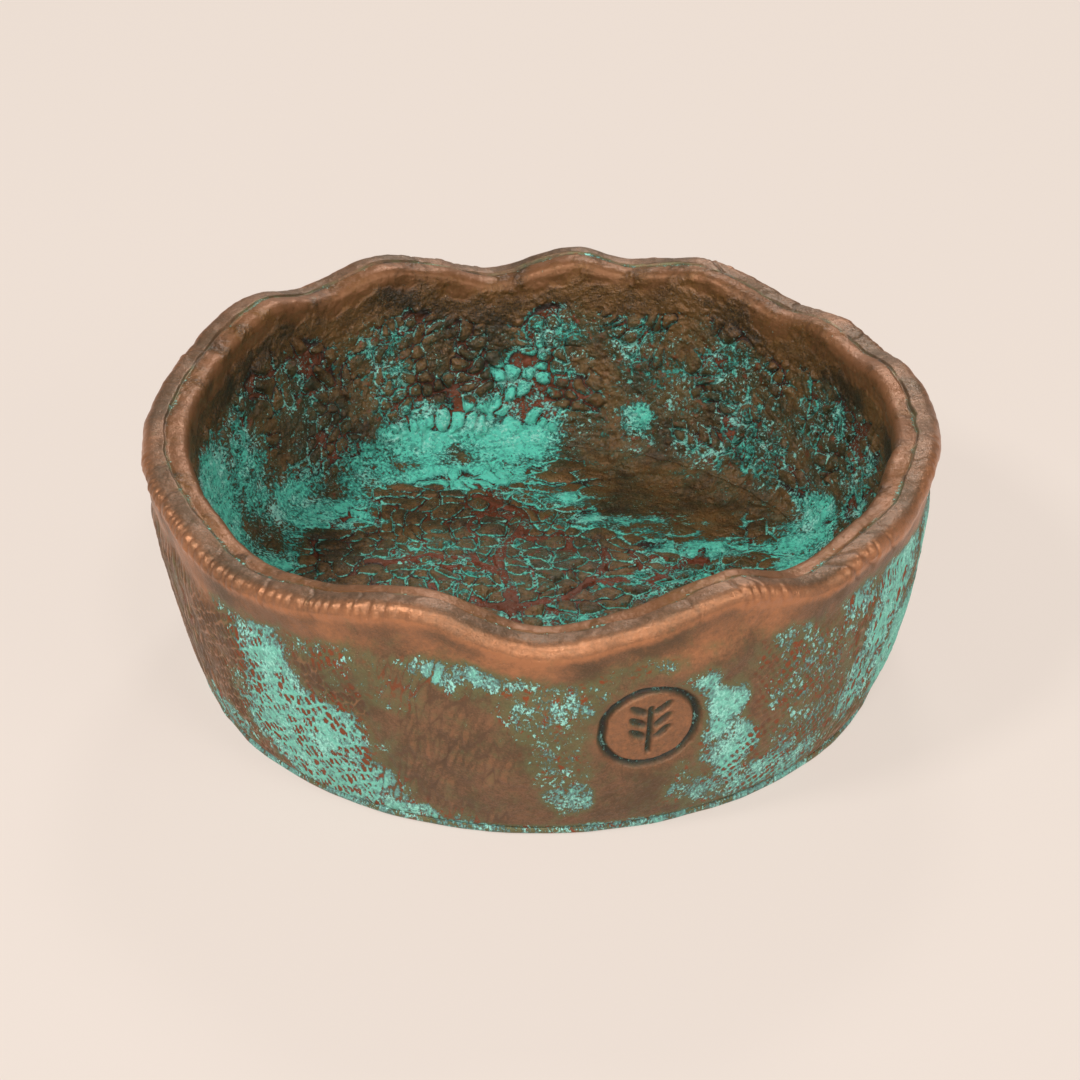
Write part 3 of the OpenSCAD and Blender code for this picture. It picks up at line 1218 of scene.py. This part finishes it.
@dataclass
class FloorDisc:
    """The inner floor disc with the tree in relief, whose patina runs on up the wall."""

    shape: BowlShape
    wall: InnerWall
    columns: int = 1440
    rings: int = 168
    tree: TreeRelief = field(default_factory=TreeRelief)
    # Clouds of patina: place, half width, half depth and strength
    clouds: tuple[tuple[float, float, float, float, float], ...] = (
        (-18, 43, 24, 6, 0.95), (-37, 30, 9, 8, 0.8), (-46, 12, 6, 16, 0.7),
        (2, 35, 12, 5, 0.6), (14, 25, 20, 6, 0.52), (30, 16, 16, 5, 0.6),
        (45, 12, 7, 10, 0.85), (26, 6, 16, 8, 0.5), (-8, 10, 30, 20, 0.32),
        (10, -14, 22, 14, 0.55), (-26, -18, 16, 14, 0.7), (30, -20, 16, 14, 0.75),
        (0, -36, 24, 10, 0.85), (8, 12, 60, 60, 0.2))

    def tree_share(self, x: Array, y: Array) -> Array:
        """Gives where the tree is sharp and where the floor is worn smooth."""
        place = np.stack([x, y, 0 * x], -1)
        ragged = 4.0 * Grain(Noise.TREE_EDGE).layered(place, 12.0, 3)
        worn = smooth_step(np.hypot(x - 24.0, y - 36.0) + ragged, 13.0, 20.0)
        return 0.12 + 0.88 * worn

    def patina(self, x: Array, y: Array) -> Array:
        """Gives the clouds and brushed streaks of patina on the floor.

        Args:
            x: Places across the floor.
            y: Places along the floor, away from the front.

        Returns:
            Strengths from 0 to about 1.
        """
        place = np.stack([x, y, 0 * x], -1)
        ragged_x = x + 3.0 * Grain(Noise.FLOOR_EDGE_X).layered(place, 6.0, 3)
        ragged_y = y + 2.0 * Grain(Noise.FLOOR_EDGE_Y).layered(place, 6.0, 3)
        total = np.zeros(x.shape)
        for middle_x, middle_y, wide, deep, strength in self.clouds:
            far = np.hypot((ragged_x - middle_x) / wide, (ragged_y - middle_y) / deep)
            total = np.maximum(total, strength * (1 - smooth_step(far, 0.3, 1.4)))
        streaks = Grain(Noise.STREAKS).layered(place * [0.3, 1.0, 1.0], 2.0, 3)
        return np.clip(total + 0.22 * streaks * (total > 0.2), 0.0, 1.0)

    def build(self) -> bpy.types.Object:
        """Builds the disc with its relief and its finish marks."""
        shape = self.shape
        angle = (np.arange(self.columns) * 360.0 / self.columns)[:, None]
        reach = np.linspace(0.0, 1.0, self.rings + 1)[None, 1:] * shape.floor_radius
        flat = ring_places(angle, reach, 0.0)
        x, y = flat[..., 0], flat[..., 1]
        inward = 1 - smooth_step(reach, shape.floor_radius - 6.0, shape.floor_radius - 0.5)
        lift, level, wood = self.tree.raise_on(x, y)
        share = self.tree_share(x, y) * inward
        lift = lift * share + cove_lift(ring_places(angle, reach, shape.floor_height(reach)))
        slope = shape.floor_slope(reach)
        ends = np.array([[shape.floor_radius]])
        sheet = Sheet.joined(angle, [
            Run(reach - np.sin(slope) * lift, shape.floor_height(reach) + np.cos(slope) * lift),
            Run(ends, 0 * ends + shape.base_top),
        ])
        edge = Sheet(angle, ends, ends * 0 + shape.floor_top + shape.cove_rise, ends, ends * 0)
        patina = self.patina(x, y)
        patina = patina + (self.wall.patina(edge) - patina) * (1 - inward)
        centre = [0, 0, float(sheet.height[:, 0].mean())]
        places = np.concatenate([sheet.places().reshape(-1, 3), [centre, [0, 0, shape.base_top]]])
        marks = {
            "patina": np.clip(patina, 0, 1),
            "relief": np.clip(0.6 + (level - 0.6) * share, 0, 1),
            "wear_and_sheen": 0 * wood,
            "seam": 0 * x,
        }
        marks = {
            name: with_middles(np.concatenate([mark, mark[:, -1:]], 1))
            for name, mark in marks.items()
        }
        faces = disc_faces(self.columns, self.rings + 1, True)
        flat = np.concatenate([np.tile(np.arange(self.rings) == self.rings - 1, self.columns),
                               np.zeros(self.columns, bool), np.ones(self.columns, bool)])
        return make_mesh("floor_disc_with_tree", places, faces, marks, flat)


@dataclass
class BaseDisc:
    """The thin outer base disc with its rounded lower edge."""

    shape: BowlShape
    columns: int = 720
    edge_round: float = 0.9

    def build(self) -> bpy.types.Object:
        """Builds the disc with its finish marks."""
        shape = self.shape
        angle = (np.arange(self.columns) * 360.0 / self.columns)[:, None]
        bend = np.radians(np.linspace(-90.0, 40.0, 12))
        edge_radius = shape.foot_radius - self.edge_round * (1 - np.cos(bend))
        edge_height = self.edge_round * (1 + np.sin(bend))
        under = np.linspace(0.0, edge_radius[0], 40)[1:-1]
        top = np.linspace(edge_radius[-1] - 0.5, 0.0, 8)[:-1]
        radius = np.concatenate([under, edge_radius, top])[None, :]
        height = np.concatenate([0 * under, edge_height, 0 * top + shape.base_top])[None, :]
        rim = smooth_step(radius, shape.foot_radius - 2.0, shape.foot_radius - 0.6)
        place = ring_places(angle, radius, height)
        waver = 0.2 * Grain(Noise.BASE_EDGE).layered(place, 6.0, 3) * rim
        rows = ring_places(angle, radius + waver, height)
        places = np.concatenate([rows.reshape(-1, 3), [[0, 0, 0], [0, 0, shape.base_top]]])
        patina = 0.25 + 0.3 * rim + 0.25 * Grain(Noise.BASE_PATINA).layered(place, 9.0, 4)
        marks = {
            "patina": patina,
            "relief": 0.5 + 0 * patina,
            "wear_and_sheen": 0.25 * rim + 0 * patina,
            "seam": 0.15 * smooth_step(height, 1.1, 1.5) + 0 * patina,
        }
        marks = {name: np.clip(with_middles(mark), 0, 1) for name, mark in marks.items()}
        faces = disc_faces(self.columns, radius.shape[1], False)
        return make_mesh("base_disc_edge", places, faces, marks, np.zeros(len(faces), bool))


# ---------------------------------------------------------------- finishes


def linear(red: int, green: int, blue: int) -> Colour:
    """Turns a colour of a paint chart, 0 to 255, into the renderer's light values."""
    shares = [part / 255.0 for part in (red, green, blue)]
    lit = [s / 12.92 if s <= 0.04045 else ((s + 0.055) / 1.055) ** 2.4 for s in shares]
    return lit[0], lit[1], lit[2]


@dataclass
class Wiring:
    """Short hand for placing and joining the nodes of one tree."""

    tree: bpy.types.NodeTree

    def add(self, kind: str, **settings: object) -> bpy.types.Node:
        """Places a node and sets its properties."""
        node = self.tree.nodes.new(kind)
        for name, value in settings.items():
            setattr(node, name, value)
        return node

    def feed(self, target: Socket, value: Union[Value, Colour]) -> None:
        """Joins a socket to target, or sets target to a fixed value."""
        if isinstance(value, bpy.types.NodeSocket):
            self.tree.links.new(value, target)
        elif isinstance(value, tuple) and target.type == "RGBA":
            target.default_value = (*value, 1.0)
        else:
            target.default_value = value

    def math(self, operation: str, first: Value, second: Value = 0.0) -> Socket:
        """Places a sum of two values."""
        node = self.add("ShaderNodeMath", operation=operation)
        self.feed(node.inputs[0], first)
        self.feed(node.inputs[1], second)
        return node.outputs[0]

    def plus(self, first: Value, second: Value) -> Socket:
        """Places first + second."""
        return self.math("ADD", first, second)

    def minus(self, first: Value, second: Value) -> Socket:
        """Places first - second."""
        return self.math("SUBTRACT", first, second)

    def times(self, first: Value, second: Value) -> Socket:
        """Places first times second."""
        return self.math("MULTIPLY", first, second)

    def most(self, first: Value, second: Value) -> Socket:
        """Places the greater of two values."""
        return self.math("MAXIMUM", first, second)

    def mix(self, share: Value, first: Union[Socket, Colour],
            second: Union[Socket, Colour]) -> Socket:
        """Places a mix of two colours."""
        node = self.add("ShaderNodeMix", data_type="RGBA")
        self.feed(node.inputs[0], share)
        self.feed(node.inputs[6], first)
        self.feed(node.inputs[7], second)
        return node.outputs[2]

    def spread(self, value: Value, low: Value, high: Value, start: Value = 0.0,
               end: Value = 1.0) -> Socket:
        """Places an eased step of value from low to high."""
        node = self.add("ShaderNodeMapRange", interpolation_type="SMOOTHSTEP")
        for name, part in zip(("Value", "From Min", "From Max", "To Min", "To Max"),
                              (value, low, high, start, end)):
            self.feed(node.inputs[name], part)
        return node.outputs[0]

    def noise(self, place: Socket, scale: Value, detail: float = 4.0,
              rough: float = 0.6) -> Socket:
        """Places smooth noise; scale counts its hills in a millimetre."""
        node = self.add("ShaderNodeTexNoise")
        self.feed(node.inputs["Vector"], place)
        self.feed(node.inputs["Scale"], scale)
        self.feed(node.inputs["Detail"], detail)
        self.feed(node.inputs["Roughness"], rough)
        return node.outputs[0]


def make_group(name: str, inputs: dict[str, str], outputs: dict[str, str]) -> tuple[
        Wiring, bpy.types.Node, bpy.types.Node]:
    """Makes an empty node group with named sockets.

    Args:
        name: Name of the group.
        inputs: Socket kinds by input name.
        outputs: Socket kinds by output name.

    Returns:
        The group's wiring, its input node and its output node.
    """
    group = bpy.data.node_groups.new(name, "ShaderNodeTree")
    for way, sockets in (("INPUT", inputs), ("OUTPUT", outputs)):
        for socket, kind in sockets.items():
            group.interface.new_socket(name=socket, in_out=way, socket_type=kind)
    wiring = Wiring(group)
    return wiring, wiring.add("NodeGroupInput"), wiring.add("NodeGroupOutput")


FLOAT = "NodeSocketFloat"
COLOUR = "NodeSocketColor"
VECTOR = "NodeSocketVector"


def verdigris_group() -> bpy.types.NodeTree:
    """Builds the green patina: where it lies, its thin wash, its tint and its crust."""
    wiring, given, result = make_group(
        "verdigris",
        {"Place": VECTOR, "Field": FLOAT, "Relief": FLOAT, "Clumps": FLOAT, "Grit": FLOAT,
         "Hollows": FLOAT, "Foot": FLOAT, "Thin": COLOUR, "Body": COLOUR, "Bloom": COLOUR},
        {"Mask": FLOAT, "Wash": FLOAT, "Tint": COLOUR, "Crust": FLOAT},
    )
    place, spread_of, relief = (given.outputs[name] for name in ("Place", "Field", "Relief"))
    clumps = wiring.minus(wiring.noise(place, 0.45, 5.0, 0.65), 0.5)
    specks = wiring.minus(wiring.noise(place, 2.4, 4.0, 0.75), 0.5)
    shade = wiring.noise(place, 0.3, 4.0, 0.6)
    brushed = wiring.minus(wiring.spread(shade, 0.35, 0.65, 0.5, 1.3),
                           wiring.times(spread_of, 2.0))
    brushed = wiring.times(brushed, wiring.spread(spread_of, 0.15, 0.35))
    hollow = wiring.times(wiring.minus(0.5, relief), brushed)
    foot = wiring.times(wiring.spread(relief, 0.12, 0.28), wiring.spread(relief, 0.52, 0.34))
    level = wiring.plus(spread_of, wiring.times(clumps, given.outputs["Clumps"]))
    level = wiring.plus(level, wiring.times(specks, given.outputs["Grit"]))
    level = wiring.plus(level, wiring.times(hollow, given.outputs["Hollows"]))
    level = wiring.plus(level, wiring.times(foot, given.outputs["Foot"]))
    mask = wiring.spread(level, 0.45, 0.56)
    wash = wiring.spread(wiring.plus(spread_of, wiring.times(clumps, 0.8)), 0.05, 0.45)
    tint = wiring.mix(wiring.spread(level, 0.5, 0.9), given.outputs["Thin"], given.outputs["Body"])
    murky = wiring.most(wiring.spread(wiring.noise(place, 0.9, 5.0, 0.75), 0.53, 0.6),
                        wiring.spread(relief, 0.4, 0.1))
    tint = wiring.mix(wiring.times(murky, 0.6), tint, given.outputs["Thin"])
    pale = wiring.spread(wiring.plus(shade, wiring.times(specks, 1.2)), 0.5, 0.8)
    tint = wiring.mix(pale, tint, given.outputs["Bloom"])
    crust = wiring.times(mask, wiring.plus(wiring.times(specks, 2.0), 0.7))
    for name, value in (("Mask", mask), ("Wash", wash), ("Tint", tint), ("Crust", crust)):
        wiring.feed(result.inputs[name], value)
    return wiring.tree


def aged_copper_group() -> bpy.types.NodeTree:
    """Builds aged copper: mottled body, rubbed tops, dull or rust-red hollows, painted shade in the
    crevices, and bright copper on wear and on painted highlights.
    """
    wiring, given, result = make_group(
        "aged copper",
        {"Place": VECTOR, "Field": FLOAT, "Relief": FLOAT, "Wear": FLOAT, "Rubbing": FLOAT,
         "Crevice Shade": FLOAT, "Shine": FLOAT, "Body": COLOUR, "Shade": COLOUR, "Bright": COLOUR,
         "Rust": COLOUR, "Hollow": COLOUR},
        {"Tint": COLOUR, "Gloss": FLOAT, "Spots": FLOAT},
    )
    place, relief = given.outputs["Place"], given.outputs["Relief"]
    broad = wiring.noise(place, 0.1, 4.0, 0.6)
    fine = wiring.noise(place, 1.3, 5.0, 0.7)
    speck = wiring.noise(place, 3.4, 2.0, 0.6)
    mottle = wiring.plus(wiring.times(speck, 0.7), wiring.times(fine, 0.5))
    mottle = wiring.spread(wiring.plus(broad, mottle), 0.9, 1.3)
    tint = wiring.mix(mottle, given.outputs["Body"], given.outputs["Shade"])
    stained = wiring.spread(given.outputs["Field"], 0.1, 0.32)
    deep_tint = wiring.mix(stained, given.outputs["Hollow"], given.outputs["Rust"])
    tint = wiring.mix(wiring.spread(relief, 0.42, 0.14), tint, deep_tint)
    # Painted shade: the crevices round the pebbles are darkened towards near black, where shade
    # would fall.
    crevice = wiring.times(wiring.spread(relief, 0.02, 0.12), wiring.spread(relief, 0.42, 0.2))
    crevice = wiring.times(crevice, given.outputs["Crevice Shade"])
    tint = wiring.mix(crevice, tint, linear(22, 18, 12))
    tops = wiring.times(wiring.spread(relief, 0.6, 0.95), given.outputs["Rubbing"])
    # The wear input also carries painted highlights from the outer lip and bulges, so the bright
    # copper mixed in here is partly painted highlight.
    scuffs = wiring.times(wiring.minus(fine, 0.5), 1.1)
    rubbed = wiring.spread(wiring.plus(given.outputs["Wear"], scuffs), 0.15, 1.0)
    rubbed = wiring.most(tops, rubbed)
    tint = wiring.mix(rubbed, tint, given.outputs["Bright"])
    spots = wiring.times(wiring.spread(wiring.noise(place, 0.85, 3.0, 0.6), 0.56, 0.64),
                         wiring.spread(given.outputs["Field"], 0.2, 0.4))
    tint = wiring.mix(spots, tint, given.outputs["Rust"])
    wiring.feed(result.inputs["Spots"], spots)
    gloss = wiring.minus(0.5, wiring.times(rubbed, given.outputs["Shine"]))
    gloss = wiring.plus(gloss, wiring.times(wiring.minus(fine, 0.5), 0.4))
    wiring.feed(result.inputs["Tint"], tint)
    wiring.feed(result.inputs["Gloss"], gloss)
    return wiring.tree


def skin_group() -> bpy.types.NodeTree:
    """Builds the fine skin of the surface: grain, lumps and pits, as a height."""
    wiring, given, result = make_group(
        "fine skin", {"Place": VECTOR, "Coarse": FLOAT}, {"Height": FLOAT})
    place = given.outputs["Place"]
    grain = wiring.noise(place, 3.2, 4.0, 0.65)
    lumps = wiring.noise(place, 0.9, 3.0, 0.6)
    pits = wiring.spread(wiring.noise(place, 1.7, 2.0, 0.5), 0.28, 0.4)
    height = wiring.plus(wiring.times(grain, 0.35),
                         wiring.times(lumps, given.outputs["Coarse"]))
    height = wiring.plus(height, wiring.times(pits, 0.25))
    wiring.feed(result.inputs["Height"], height)
    return wiring.tree


@dataclass(frozen=True)
class CopperFinish:
    """Aged copper under verdigris, with its own colours for one part of the bowl."""

    name: str
    body: Colour
    shade: Colour
    bright: Colour
    rust: Colour
    hollow: Colour
    fill: Colour
    haze: Colour
    thin: Colour
    green: Colour
    bloom: Colour
    streak: tuple[float, float, float] = (1.0, 1.0, 1.0)
    rubbing: float = 0.5
    # Strength of the painted shade laid into the crevices
    crevice_shade: float = 0.0
    shine: float = 0.17
    haze_share: float = 0.7
    clumps: float = 1.2
    grit: float = 1.0
    hollows: float = 1.0
    foot: float = 0.0
    metal: float = 0.6
    coarse: float = 0.4
    depth: float = 0.2
    varnish: float = 0.1
    # Share of the fine skin that rubbing leaves
    polish: float = 1.0
    mirror: float = 0.5

    def material(self, groups: dict[str, bpy.types.NodeTree]) -> bpy.types.Material:
        """Builds the material.

        Args:
            groups: The shared effects by name.

        Returns:
            The finished material.
        """
        made = bpy.data.materials.new(self.name)
        made.use_nodes = True
        made.node_tree.nodes.clear()
        wiring = Wiring(made.node_tree)
        scaled = wiring.add("ShaderNodeVectorMath", operation="SCALE")
        wiring.feed(scaled.inputs[0], wiring.add("ShaderNodeTexCoord").outputs["Object"])
        scaled.inputs["Scale"].default_value = 1 / MM
        place = scaled.outputs[0]
        drawn = wiring.add("ShaderNodeVectorMath", operation="MULTIPLY")
        wiring.feed(drawn.inputs[0], place)
        drawn.inputs[1].default_value = self.streak
        mark = {
            name: wiring.add("ShaderNodeAttribute", attribute_name=name).outputs["Fac"]
            for name in ("patina", "relief", "wear_and_sheen", "seam")
        }
        copper = self.place_group(wiring, groups["copper"], {
            "Place": place, "Field": mark["patina"], "Relief": mark["relief"],
            "Wear": mark["wear_and_sheen"], "Rubbing": self.rubbing, "Crevice Shade": self.crevice_shade,
            "Shine": self.shine, "Body": self.body,
            "Shade": self.shade, "Bright": self.bright, "Rust": self.rust,
            "Hollow": self.hollow})
        green = self.place_group(wiring, groups["verdigris"], {
            "Place": drawn.outputs[0], "Field": mark["patina"], "Relief": mark["relief"],
            "Clumps": self.clumps, "Grit": self.grit, "Hollows": self.hollows,
            "Foot": self.foot, "Thin": self.thin, "Body": self.green, "Bloom": self.bloom})
        skin = self.place_group(wiring, groups["skin"], {"Place": place, "Coarse": self.coarse})
        flats = wiring.times(green["Wash"], wiring.spread(mark["relief"], 0.2, 0.5))
        flats = wiring.times(flats, wiring.minus(1.0, copper["Spots"]))
        hazed = wiring.mix(wiring.times(flats, self.haze_share), copper["Tint"], self.haze)
        tint = wiring.mix(green["Mask"], hazed, green["Tint"])
        dark = wiring.times(mark["seam"],
                            wiring.spread(green["Mask"], 0.0, 1.0, 0.95, 0.45))
        tint = wiring.mix(dark, tint, self.fill)
        bump = wiring.add("ShaderNodeBump")
        bump.inputs["Distance"].default_value = self.depth * MM
        height = wiring.plus(skin["Height"], wiring.times(green["Crust"], 0.6))
        worn = wiring.spread(mark["wear_and_sheen"], 0.1, 0.7)
        wiring.feed(bump.inputs["Height"], wiring.times(
            height, wiring.spread(worn, 0.0, 1.0, 1.0, self.polish)))
        shader = wiring.add("ShaderNodeBsdfPrincipled")
        dull = wiring.most(green["Mask"], dark)
        wiring.feed(shader.inputs["Base Color"], tint)
        wiring.feed(shader.inputs["Metallic"], wiring.spread(dull, 0.0, 1.0, self.metal, 0.0))
        wiring.feed(shader.inputs["Roughness"],
                    wiring.plus(copper["Gloss"], wiring.times(dull, 0.2)))
        wiring.feed(shader.inputs["Normal"], bump.outputs["Normal"])
        wiring.feed(shader.inputs["Coat Weight"], wiring.spread(worn, 0.0, 1.0, self.varnish, 0.04))
        wiring.feed(shader.inputs["Coat Normal"], bump.outputs["Normal"])
        shader.inputs["Coat Roughness"].default_value = 0.2
        shader.inputs["Specular IOR Level"].default_value = self.mirror
        out = wiring.add("ShaderNodeOutputMaterial")
        wiring.feed(out.inputs["Surface"], shader.outputs[0])
        return made

    @staticmethod
    def place_group(wiring: Wiring, group: bpy.types.NodeTree,
                    values: dict[str, object]) -> dict[str, Socket]:
        """Places a shared effect in a material.

        Args:
            wiring: The material's wiring.
            group: The shared effect.
            values: A socket or a fixed value for each of its inputs.

        Returns:
            The effect's outputs by name.
        """
        node = wiring.add("ShaderNodeGroup", node_tree=group)
        for name, value in values.items():
            wiring.feed(node.inputs[name], value)
        return {socket.name: socket for socket in node.outputs}


OUTSIDE_FINISH = CopperFinish(
    name="cloth printed copper",
    # bright is the rubbed copper colour, and also the colour of the painted highlight line on the
    # lip's corner and the painted sheen on the bulges.
    body=linear(132, 96, 70), shade=linear(96, 74, 52), bright=linear(178, 120, 82),
    rust=linear(140, 72, 38), hollow=linear(100, 76, 56), fill=linear(16, 26, 22),
    haze=linear(108, 110, 74), thin=linear(92, 124, 120), green=linear(116, 196, 174),
    bloom=linear(160, 226, 208), hollows=1.5, streak=(1.0, 1.0, 0.7), clumps=1.0, grit=1.15,
    haze_share=0.85, metal=0.65,
)
INSIDE_FINISH = CopperFinish(
    name="pebbled copper",
    body=linear(122, 82, 38), shade=linear(44, 32, 11), bright=linear(132, 87, 54),
    rust=linear(122, 58, 26), hollow=linear(94, 50, 26), fill=linear(16, 26, 22),
    haze=linear(84, 94, 58), thin=linear(44, 112, 102), green=linear(106, 228, 200),
    bloom=linear(180, 244, 226), streak=(0.7, 1.0, 0.8),
    # The crevice setting here darkens the crevices with painted shade, and the floor finish keeps
    # it.
    rubbing=0.0, crevice_shade=0.85, haze_share=0.4, clumps=1.1, grit=2.2, hollows=1.0, foot=0.28,
    metal=0.45, coarse=1.0, depth=0.6, varnish=0.55, polish=0.25, shine=0.06, mirror=0.4,
)
FLOOR_FINISH = replace(
    INSIDE_FINISH, name="tree relief copper", rust=linear(112, 48, 14), hollow=linear(98, 46, 16),
    bloom=linear(150, 234, 212), foot=0.42, grit=1.9, varnish=0.3, metal=0.35)


# ---------------------------------------------------------------- studio


@dataclass(frozen=True)
class Softbox:
    """One square soft light that faces the bowl: place and side in metres, power in watts."""

    name: str
    at: tuple[float, float, float]
    side: float
    power: float

    def hang(self) -> None:
        """Hangs the light in the scene."""
        data = bpy.data.lights.new(self.name, "AREA")
        data.size = self.side
        data.energy = self.power
        lamp = bpy.data.objects.new(self.name, data)
        lamp.location = self.at
        aim = Vector(self.at) - Vector((0.0, 0.0, 0.02))
        lamp.rotation_euler = aim.to_track_quat("Z", "Y").to_euler()
        bpy.context.scene.collection.objects.link(lamp)


@dataclass(frozen=True)
class Studio:
    """Pale floor, soft lights and the camera."""

    distance: float = 0.45
    elevation: float = 31.28
    field_of_view: float = 22.956
    aim: tuple[float, float, float] = (-0.00013, 0.0, 0.01786)
    paper: Colour = linear(235, 221, 210)
    glow: float = 0.79
    room_light: float = 0.22
    softboxes: tuple[Softbox, ...] = (
        Softbox("key light", (-0.5, -0.35, 0.7), 0.16, 4.6),
        Softbox("top light", (0.15, -0.4, 0.85), 0.2, 2.2),
        Softbox("front light", (-0.1, -1.0, 0.3), 0.6, 4.0),
        Softbox("right fill", (0.8, -0.6, 0.5), 0.5, 3.6),
        Softbox("back light", (0.1, 0.8, 0.7), 0.2, 4.0),
    )

    def camera(self) -> None:
        """Places the camera."""
        data = bpy.data.cameras.new("camera")
        data.sensor_width = 36.0
        data.lens = 18.0 / math.tan(math.radians(self.field_of_view) / 2)
        data.clip_start = 0.01
        camera = bpy.data.objects.new("camera", data)
        rise = math.radians(self.elevation)
        back = Vector((0.0, -math.cos(rise), math.sin(rise)))
        camera.location = Vector(self.aim) + back * self.distance
        camera.rotation_euler = back.to_track_quat("Z", "Y").to_euler()
        bpy.context.scene.collection.objects.link(camera)
        bpy.context.scene.camera = camera

    def floor(self) -> bpy.types.Object:
        """Lays the pale floor, lit from below like a light table."""
        half = 3.0
        mesh = bpy.data.meshes.new("studio_floor")
        mesh.from_pydata([(-half, -half, 0), (half, -half, 0), (half, half, 0), (-half, half, 0)],
                         [], [(0, 1, 2, 3)])
        floor = bpy.data.objects.new("studio_floor", mesh)
        bpy.context.scene.collection.objects.link(floor)
        made = bpy.data.materials.new("pale paper")
        made.use_nodes = True
        shader = made.node_tree.nodes["Principled BSDF"]
        shader.inputs["Base Color"].default_value = (*[0.2 * part for part in self.paper], 1.0)
        shader.inputs["Roughness"].default_value = 1.0
        shader.inputs["Specular IOR Level"].default_value = 0.0
        shader.inputs["Emission Color"].default_value = (*self.paper, 1.0)
        shader.inputs["Emission Strength"].default_value = self.glow
        mesh.materials.append(made)
        return floor

    def world(self) -> None:
        """Lights the room softly from all round."""
        world = bpy.data.worlds.new("room")
        world.use_nodes = True
        sky = world.node_tree.nodes["Background"]
        sky.inputs["Color"].default_value = (1.0, 0.97, 0.93, 1.0)
        sky.inputs["Strength"].default_value = self.room_light
        bpy.context.scene.world = world
        bpy.context.scene.view_settings.view_transform = "Standard"

    def build(self) -> bpy.types.Object:
        """Sets up the whole studio and returns its floor."""
        self.camera()
        self.world()
        for softbox in self.softboxes:
            softbox.hang()
        return self.floor()


def dress(piece: bpy.types.Object, made: bpy.types.Material, node: str) -> None:
    """Gives a piece its finish and ties it to the frame.

    Args:
        piece: The piece.
        made: Its material.
        node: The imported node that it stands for.
    """
    piece.data.materials.append(made)
    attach(piece, "root")
    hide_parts(node)
    log.info("%s: %d points, stands for %s", piece.name, len(piece.data.vertices), node)


def main() -> None:
    """Builds the bowl and its studio."""
    logging.basicConfig(level=logging.INFO, format="%(name)s: %(message)s")
    shape = BowlShape.from_frame()
    groups = {
        "copper": aged_copper_group(),
        "verdigris": verdigris_group(),
        "skin": skin_group(),
    }
    outside = OUTSIDE_FINISH.material(groups)
    inside = INSIDE_FINISH.material(groups)
    floor = FLOOR_FINISH.material(groups)
    dress(OuterWall(shape).build(), outside, "outer_wall")
    inner_wall = InnerWall(shape)
    dress(inner_wall.build(), inside, "inner_wall")
    dress(FloorDisc(shape, inner_wall).build(), floor, "floor_disc")
    dress(BaseDisc(shape).build(), outside, "base_disc")
    Studio().build()


if __name__ == "__main__":
    main()
